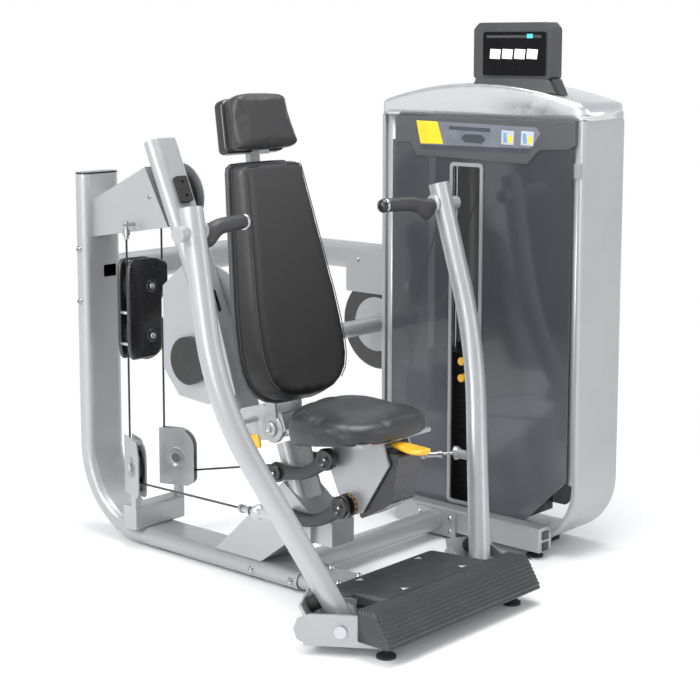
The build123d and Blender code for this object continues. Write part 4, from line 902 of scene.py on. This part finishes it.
def add_console():
    """Dark display with a thin bar, a coloured tab and four tiles."""
    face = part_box("console_housing")[0].x
    width_low, width_high, foot, top = -0.488, -0.250, 1.515, 1.651
    glass = [(p.x, p.y) for p in smooth_outline([(width_high, top), (width_low, top), (width_low, foot),
        (width_high, foot)], 4, 0.05)]
    plate_on_tower("console_glass", glass, face, 0.0012, "screen_glass", "console_plastic")
    front = face - 0.0016
    plate_on_tower("console_bar", [(width_high - 0.015, 1.640), (width_low + 0.015, 1.640),
        (width_low + 0.015, 1.632), (width_high - 0.015, 1.632)], front, 0.0004, "console_plastic",
        "console_plastic")
    plate_on_tower("console_tab", [(-0.419, 1.644), (-0.441, 1.644), (-0.441, 1.631), (-0.419, 1.631)],
        front - 0.0005, 0.0004, "tab_cyan", "console_plastic")
    for number in range(4):
        y = -0.280 - number * 0.047
        plate_on_tower(f"console_tile_{number}", [(y, 1.598), (y - 0.040, 1.596), (y - 0.036, 1.566),
            (y + 0.003, 1.568)], front, 0.0004, "tile_white", "console_plastic")


def add_stack_marks():
    """Small orange number fields down the weight stack."""
    low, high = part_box("weight_plates")
    count = 24
    pitch = (high.z - low.z + 0.0008) / count
    for number in range(count):
        z = low.z + pitch * (number + 0.5)
        plate_on_tower(f"stack_mark_{number}", [(-0.185, z + 0.005), (-0.203, z + 0.005),
            (-0.203, z - 0.005), (-0.185, z - 0.005)], low.x, 0.0008, "orange_mark", "stack_iron")


def add_footplate_marks():
    """Four small raised triangles on the tread."""
    slope = math.atan2(-0.013, 0.203)
    for number, (x, y) in enumerate(((-0.13, -0.648), (0.13, -0.648), (-0.13, -0.49), (0.13, -0.49))):
        z = 0.1345 + (y + 0.668) * (-0.013 / 0.203) + 0.0012
        axes = Axes((x, y, z), (1, 0, 0), (0, math.cos(slope), math.sin(slope)))
        size = 0.012 if y < -0.6 else -0.012
        triangle = stack(axes, [Vector((-0.012, -size * 0.6)), Vector((0.012, -size * 0.6)),
            Vector((0, size))], [(0, 0), (0.0012, 0)])
        new_piece(f"tread_mark_{number}", triangle, "label_grey", "frame", "black_plastic", smooth=False)


def column(name, x, y, radius, low, high):
    """Rounded corner post of the tower."""
    post = lathe(frame_about((x, y, low), (0, 0, 1)), [(radius - 0.002, 0), (radius, 0.003),
        (radius, high - low)], 40)
    new_piece(name, post, "silver_frame", "frame")


def add_tower_shell():
    """Arched cap with rounded rims, and the tower's rounded corner posts."""
    left, right, front, rear = 0.727, 0.970, -0.642, 0.172
    rings = []
    stations = 44
    for i in range(stations + 1):
        y = front + (rear - front) * i / stations
        edge = min(y - front, rear - y)
        pull = 0.026 - math.sqrt(max(0.0, 0.026 ** 2 - (0.026 - edge) ** 2)) if edge < 0.026 else 0.0
        crest = 1.490 - 0.064 * ((y + 0.235) / 0.407) ** 2
        crest -= pull * 0.5
        rim = 0.017
        ring = [Vector((left + pull, y, 1.3815)), Vector((left + pull, y, 1.400))]
        ring += [Vector((left + pull + rim * (1 - math.cos(a)), y, crest - rim * (1 - math.sin(a))))
                 for a in (math.pi / 2 * k / 6 for k in range(7))]
        ring += [Vector((right - pull - rim * (1 - math.cos(a)), y, crest - rim * (1 - math.sin(a))))
                 for a in (math.pi / 2 * (6 - k) / 6 for k in range(7))]
        ring += [Vector((right - pull, y, 1.400)), Vector((right - pull, y, 1.3815))]
        rings.append(ring)
    new_piece("tower_cap_shell", rings_to_mesh(rings), "graphite", "frame", "graphite", ["tower_cap"])
    column("tower_post_rear", 0.754, 0.126, 0.023, 0.10, 1.381)
    column("tower_post_front", 0.754, -0.6145, 0.0235, 0.24, 1.381)
    box = Axes((0.7395, -0.36, 1.462), (0, -1, 0), (0, 0, 1))
    foot = smooth_outline([(-0.175, -0.010), (0.175, -0.010), (0.135, 0.048), (-0.135, 0.048)], 5, 0.2)
    new_piece("console_foot", stack(box, foot, rounded_levels(-0.052, 0.004, 0.006)), "console_plastic",
        "frame")


def tread(name, half, profile, low_z):
    """Ribbed moulding along X from a (Y, Z) profile, with rounded ends."""
    fine = []
    for (y0, z0), (y1, z1) in zip(profile, profile[1:]):
        run = math.hypot(y1 - y0, z1 - z0)
        steps = max(1, int(run / 0.0022))
        for k in range(steps):
            t = k / steps
            fine.append((y0 + (y1 - y0) * t, z0 + (z1 - z0) * t))
    fine.append(profile[-1])
    ribbed = []
    travel = 0.0
    for i, (y, z) in enumerate(fine):
        ahead, behind = fine[min(i + 1, len(fine) - 1)], fine[max(i - 1, 0)]
        dy, dz = ahead[0] - behind[0], ahead[1] - behind[1]
        length = math.hypot(dy, dz) or 1.0
        travel += length / 2
        ridge = 0.0011 * max(-1.0, min(1.0, 2.2 * math.sin(travel * 2 * math.pi / 0.0115)))
        ribbed.append((y - dz / length * ridge, z + dy / length * ridge))
    middle = sum(y for y, _ in ribbed) / len(ribbed)
    stations = [-half + 0.016 * (1 - math.cos(math.pi / 2 * k / 5)) for k in range(6)]
    stations += [-half + 0.03 + (2 * half - 0.06) * k / 6 for k in range(7)]
    stations += [half - 0.016 * (1 - math.cos(math.pi / 2 * (5 - k) / 5)) for k in range(6)]
    rings = []
    for x in stations:
        edge = half - abs(x)
        pull = 0.016 - math.sqrt(max(0.0, 0.016 ** 2 - (0.016 - edge) ** 2)) if edge < 0.016 else 0.0
        ring = []
        for y, z in ribbed:
            toward = 1 if y < middle else -1
            ring.append(Vector((x, y + toward * pull, max(low_z, z - pull * 0.6))))
        ring += [Vector((x, ribbed[-1][0] - pull, low_z)), Vector((x, ribbed[0][0] + pull, low_z))]
        rings.append(ring)
    new_piece(name, rings_to_mesh(rings), "tread_plastic", "frame", "black_plastic", ["footplate_cover"])


def add_footplate():
    """Footplate: a full-width ribbed nose and a narrower ribbed deck between the arms."""
    tread("footplate_nose", 0.345, [(-0.778, 0.050), (-0.776, 0.062), (-0.741, 0.118), (-0.735, 0.126),
        (-0.727, 0.132), (-0.716, 0.1345), (-0.663, 0.1325), (-0.657, 0.126)], 0.048)
    tread("footplate_deck", 0.237, [(-0.672, 0.120), (-0.668, 0.1335), (-0.465, 0.1205), (-0.453, 0.116),
        (-0.450, 0.106)], 0.092)


def add_casting():
    """Rounded cast boss that carries the back pad's pivot, with its bolt."""
    for side in (-1, 1):
        axes = frame_about((side * 0.046, -0.075, 0.479), (side, 0, 0))
        boss = lathe(axes, [(0.044, 0), (0.043, 0.006), (0.038, 0.010)], 40)
        name = "left" if side < 0 else "right"
        new_piece(f"casting_boss_{name}", boss, "silver_frame", "frame")
        cover = lathe(frame_about((side * 0.058, -0.075, 0.479), (side, 0, 0)),
                      [(0.024, 0), (0.024, 0.004), (0.021, 0.008), (0.012, 0.009), (0.001, 0.009)], 40)
        new_piece(f"pivot_cap_{name}", cover, "silver_frame", "back_pad", "plate_steel")
        head = lathe(frame_about((side * 0.067, -0.075, 0.479), (side, 0, 0)),
                     [(0.010, 0), (0.010, 0.005), (0.0065, 0.006), (0.006, 0.002), (0.001, 0.002)], 12)
        new_piece(f"pivot_screw_{name}", head, "bolt_chrome", "back_pad", "plate_steel")


def add_guard_details():
    """Hub rings and axle caps on the lower pulley guards, and the drum scale at the seat."""
    for side, name in ((-1, "left"), (1, "right")):
        outward = Vector((side * math.cos(GUIDE_YAW), math.sin(GUIDE_YAW), 0))
        centre = Vector((side * 0.0925, 0.4964, 0.270))
        for label, sign in (("outer", 1), ("inner", -1)):
            axes = frame_about(centre + outward * (0.0151 * sign), outward * sign)
            ring = lathe(axes, [(0.034, 0), (0.0335, 0.0016), (0.030, 0.0016), (0.0295, 0.0002)], 48)
            new_piece(f"{name}_guard_ring_{label}", ring, "plate_steel", "frame", "plate_steel")
    dark = lathe(frame_about((-0.0783, 0.5019, 0.270), (math.cos(GUIDE_YAW), -math.sin(GUIDE_YAW), 0)),
                 [(0.023, 0), (0.022, 0.002), (0.001, 0.002)], 40)
    new_piece("left_guard_disc", dark, "plate_steel", "frame", "plate_steel")
    scale = lathe(frame_about((-0.0605, -0.384, 0.306), (-1, 0, 0)),
        [(0.034, 0), (0.034, 0.008), (0.030, 0.009)], 48)
    new_piece("seat_scale_drum", scale, "black_plastic", "seat", "black_plastic")
    for number in range(5):
        turn = math.radians(-20 + 24 * number)
        out = Vector((0, -math.cos(turn), math.sin(turn)))
        centre = Vector((-0.0655, -0.384, 0.306)) + out * 0.0342
        axes = Axes(centre, (-1, 0, 0), Vector((-1, 0, 0)).cross(out))
        tick = stack(axes, [Vector((-0.002, -0.004)), Vector((0.002, -0.004)), Vector((0.002, 0.004)),
            Vector((-0.002, 0.004))], [(-0.0006, 0), (0.0006, 0)])
        new_piece(f"seat_scale_mark_{number}", tick, "orange_mark", "seat", "black_plastic", smooth=False)


# ---------------------------------------------------------------- the whole machine
add_camera()
add_studio()
finish_cad_nodes()
paint_faces("torque_shaft", "black_plastic", lambda centre: centre.x < -0.0535)
add_back_pad()
add_headrest()
add_seat()
for side in (-1, 1):
    add_grip(side)
add_links()
add_block()
add_levers()
add_cables()
add_header()
add_console()
add_stack_marks()
add_footplate_marks()
add_tower_shell()
add_footplate()
add_casting()
add_guard_details()
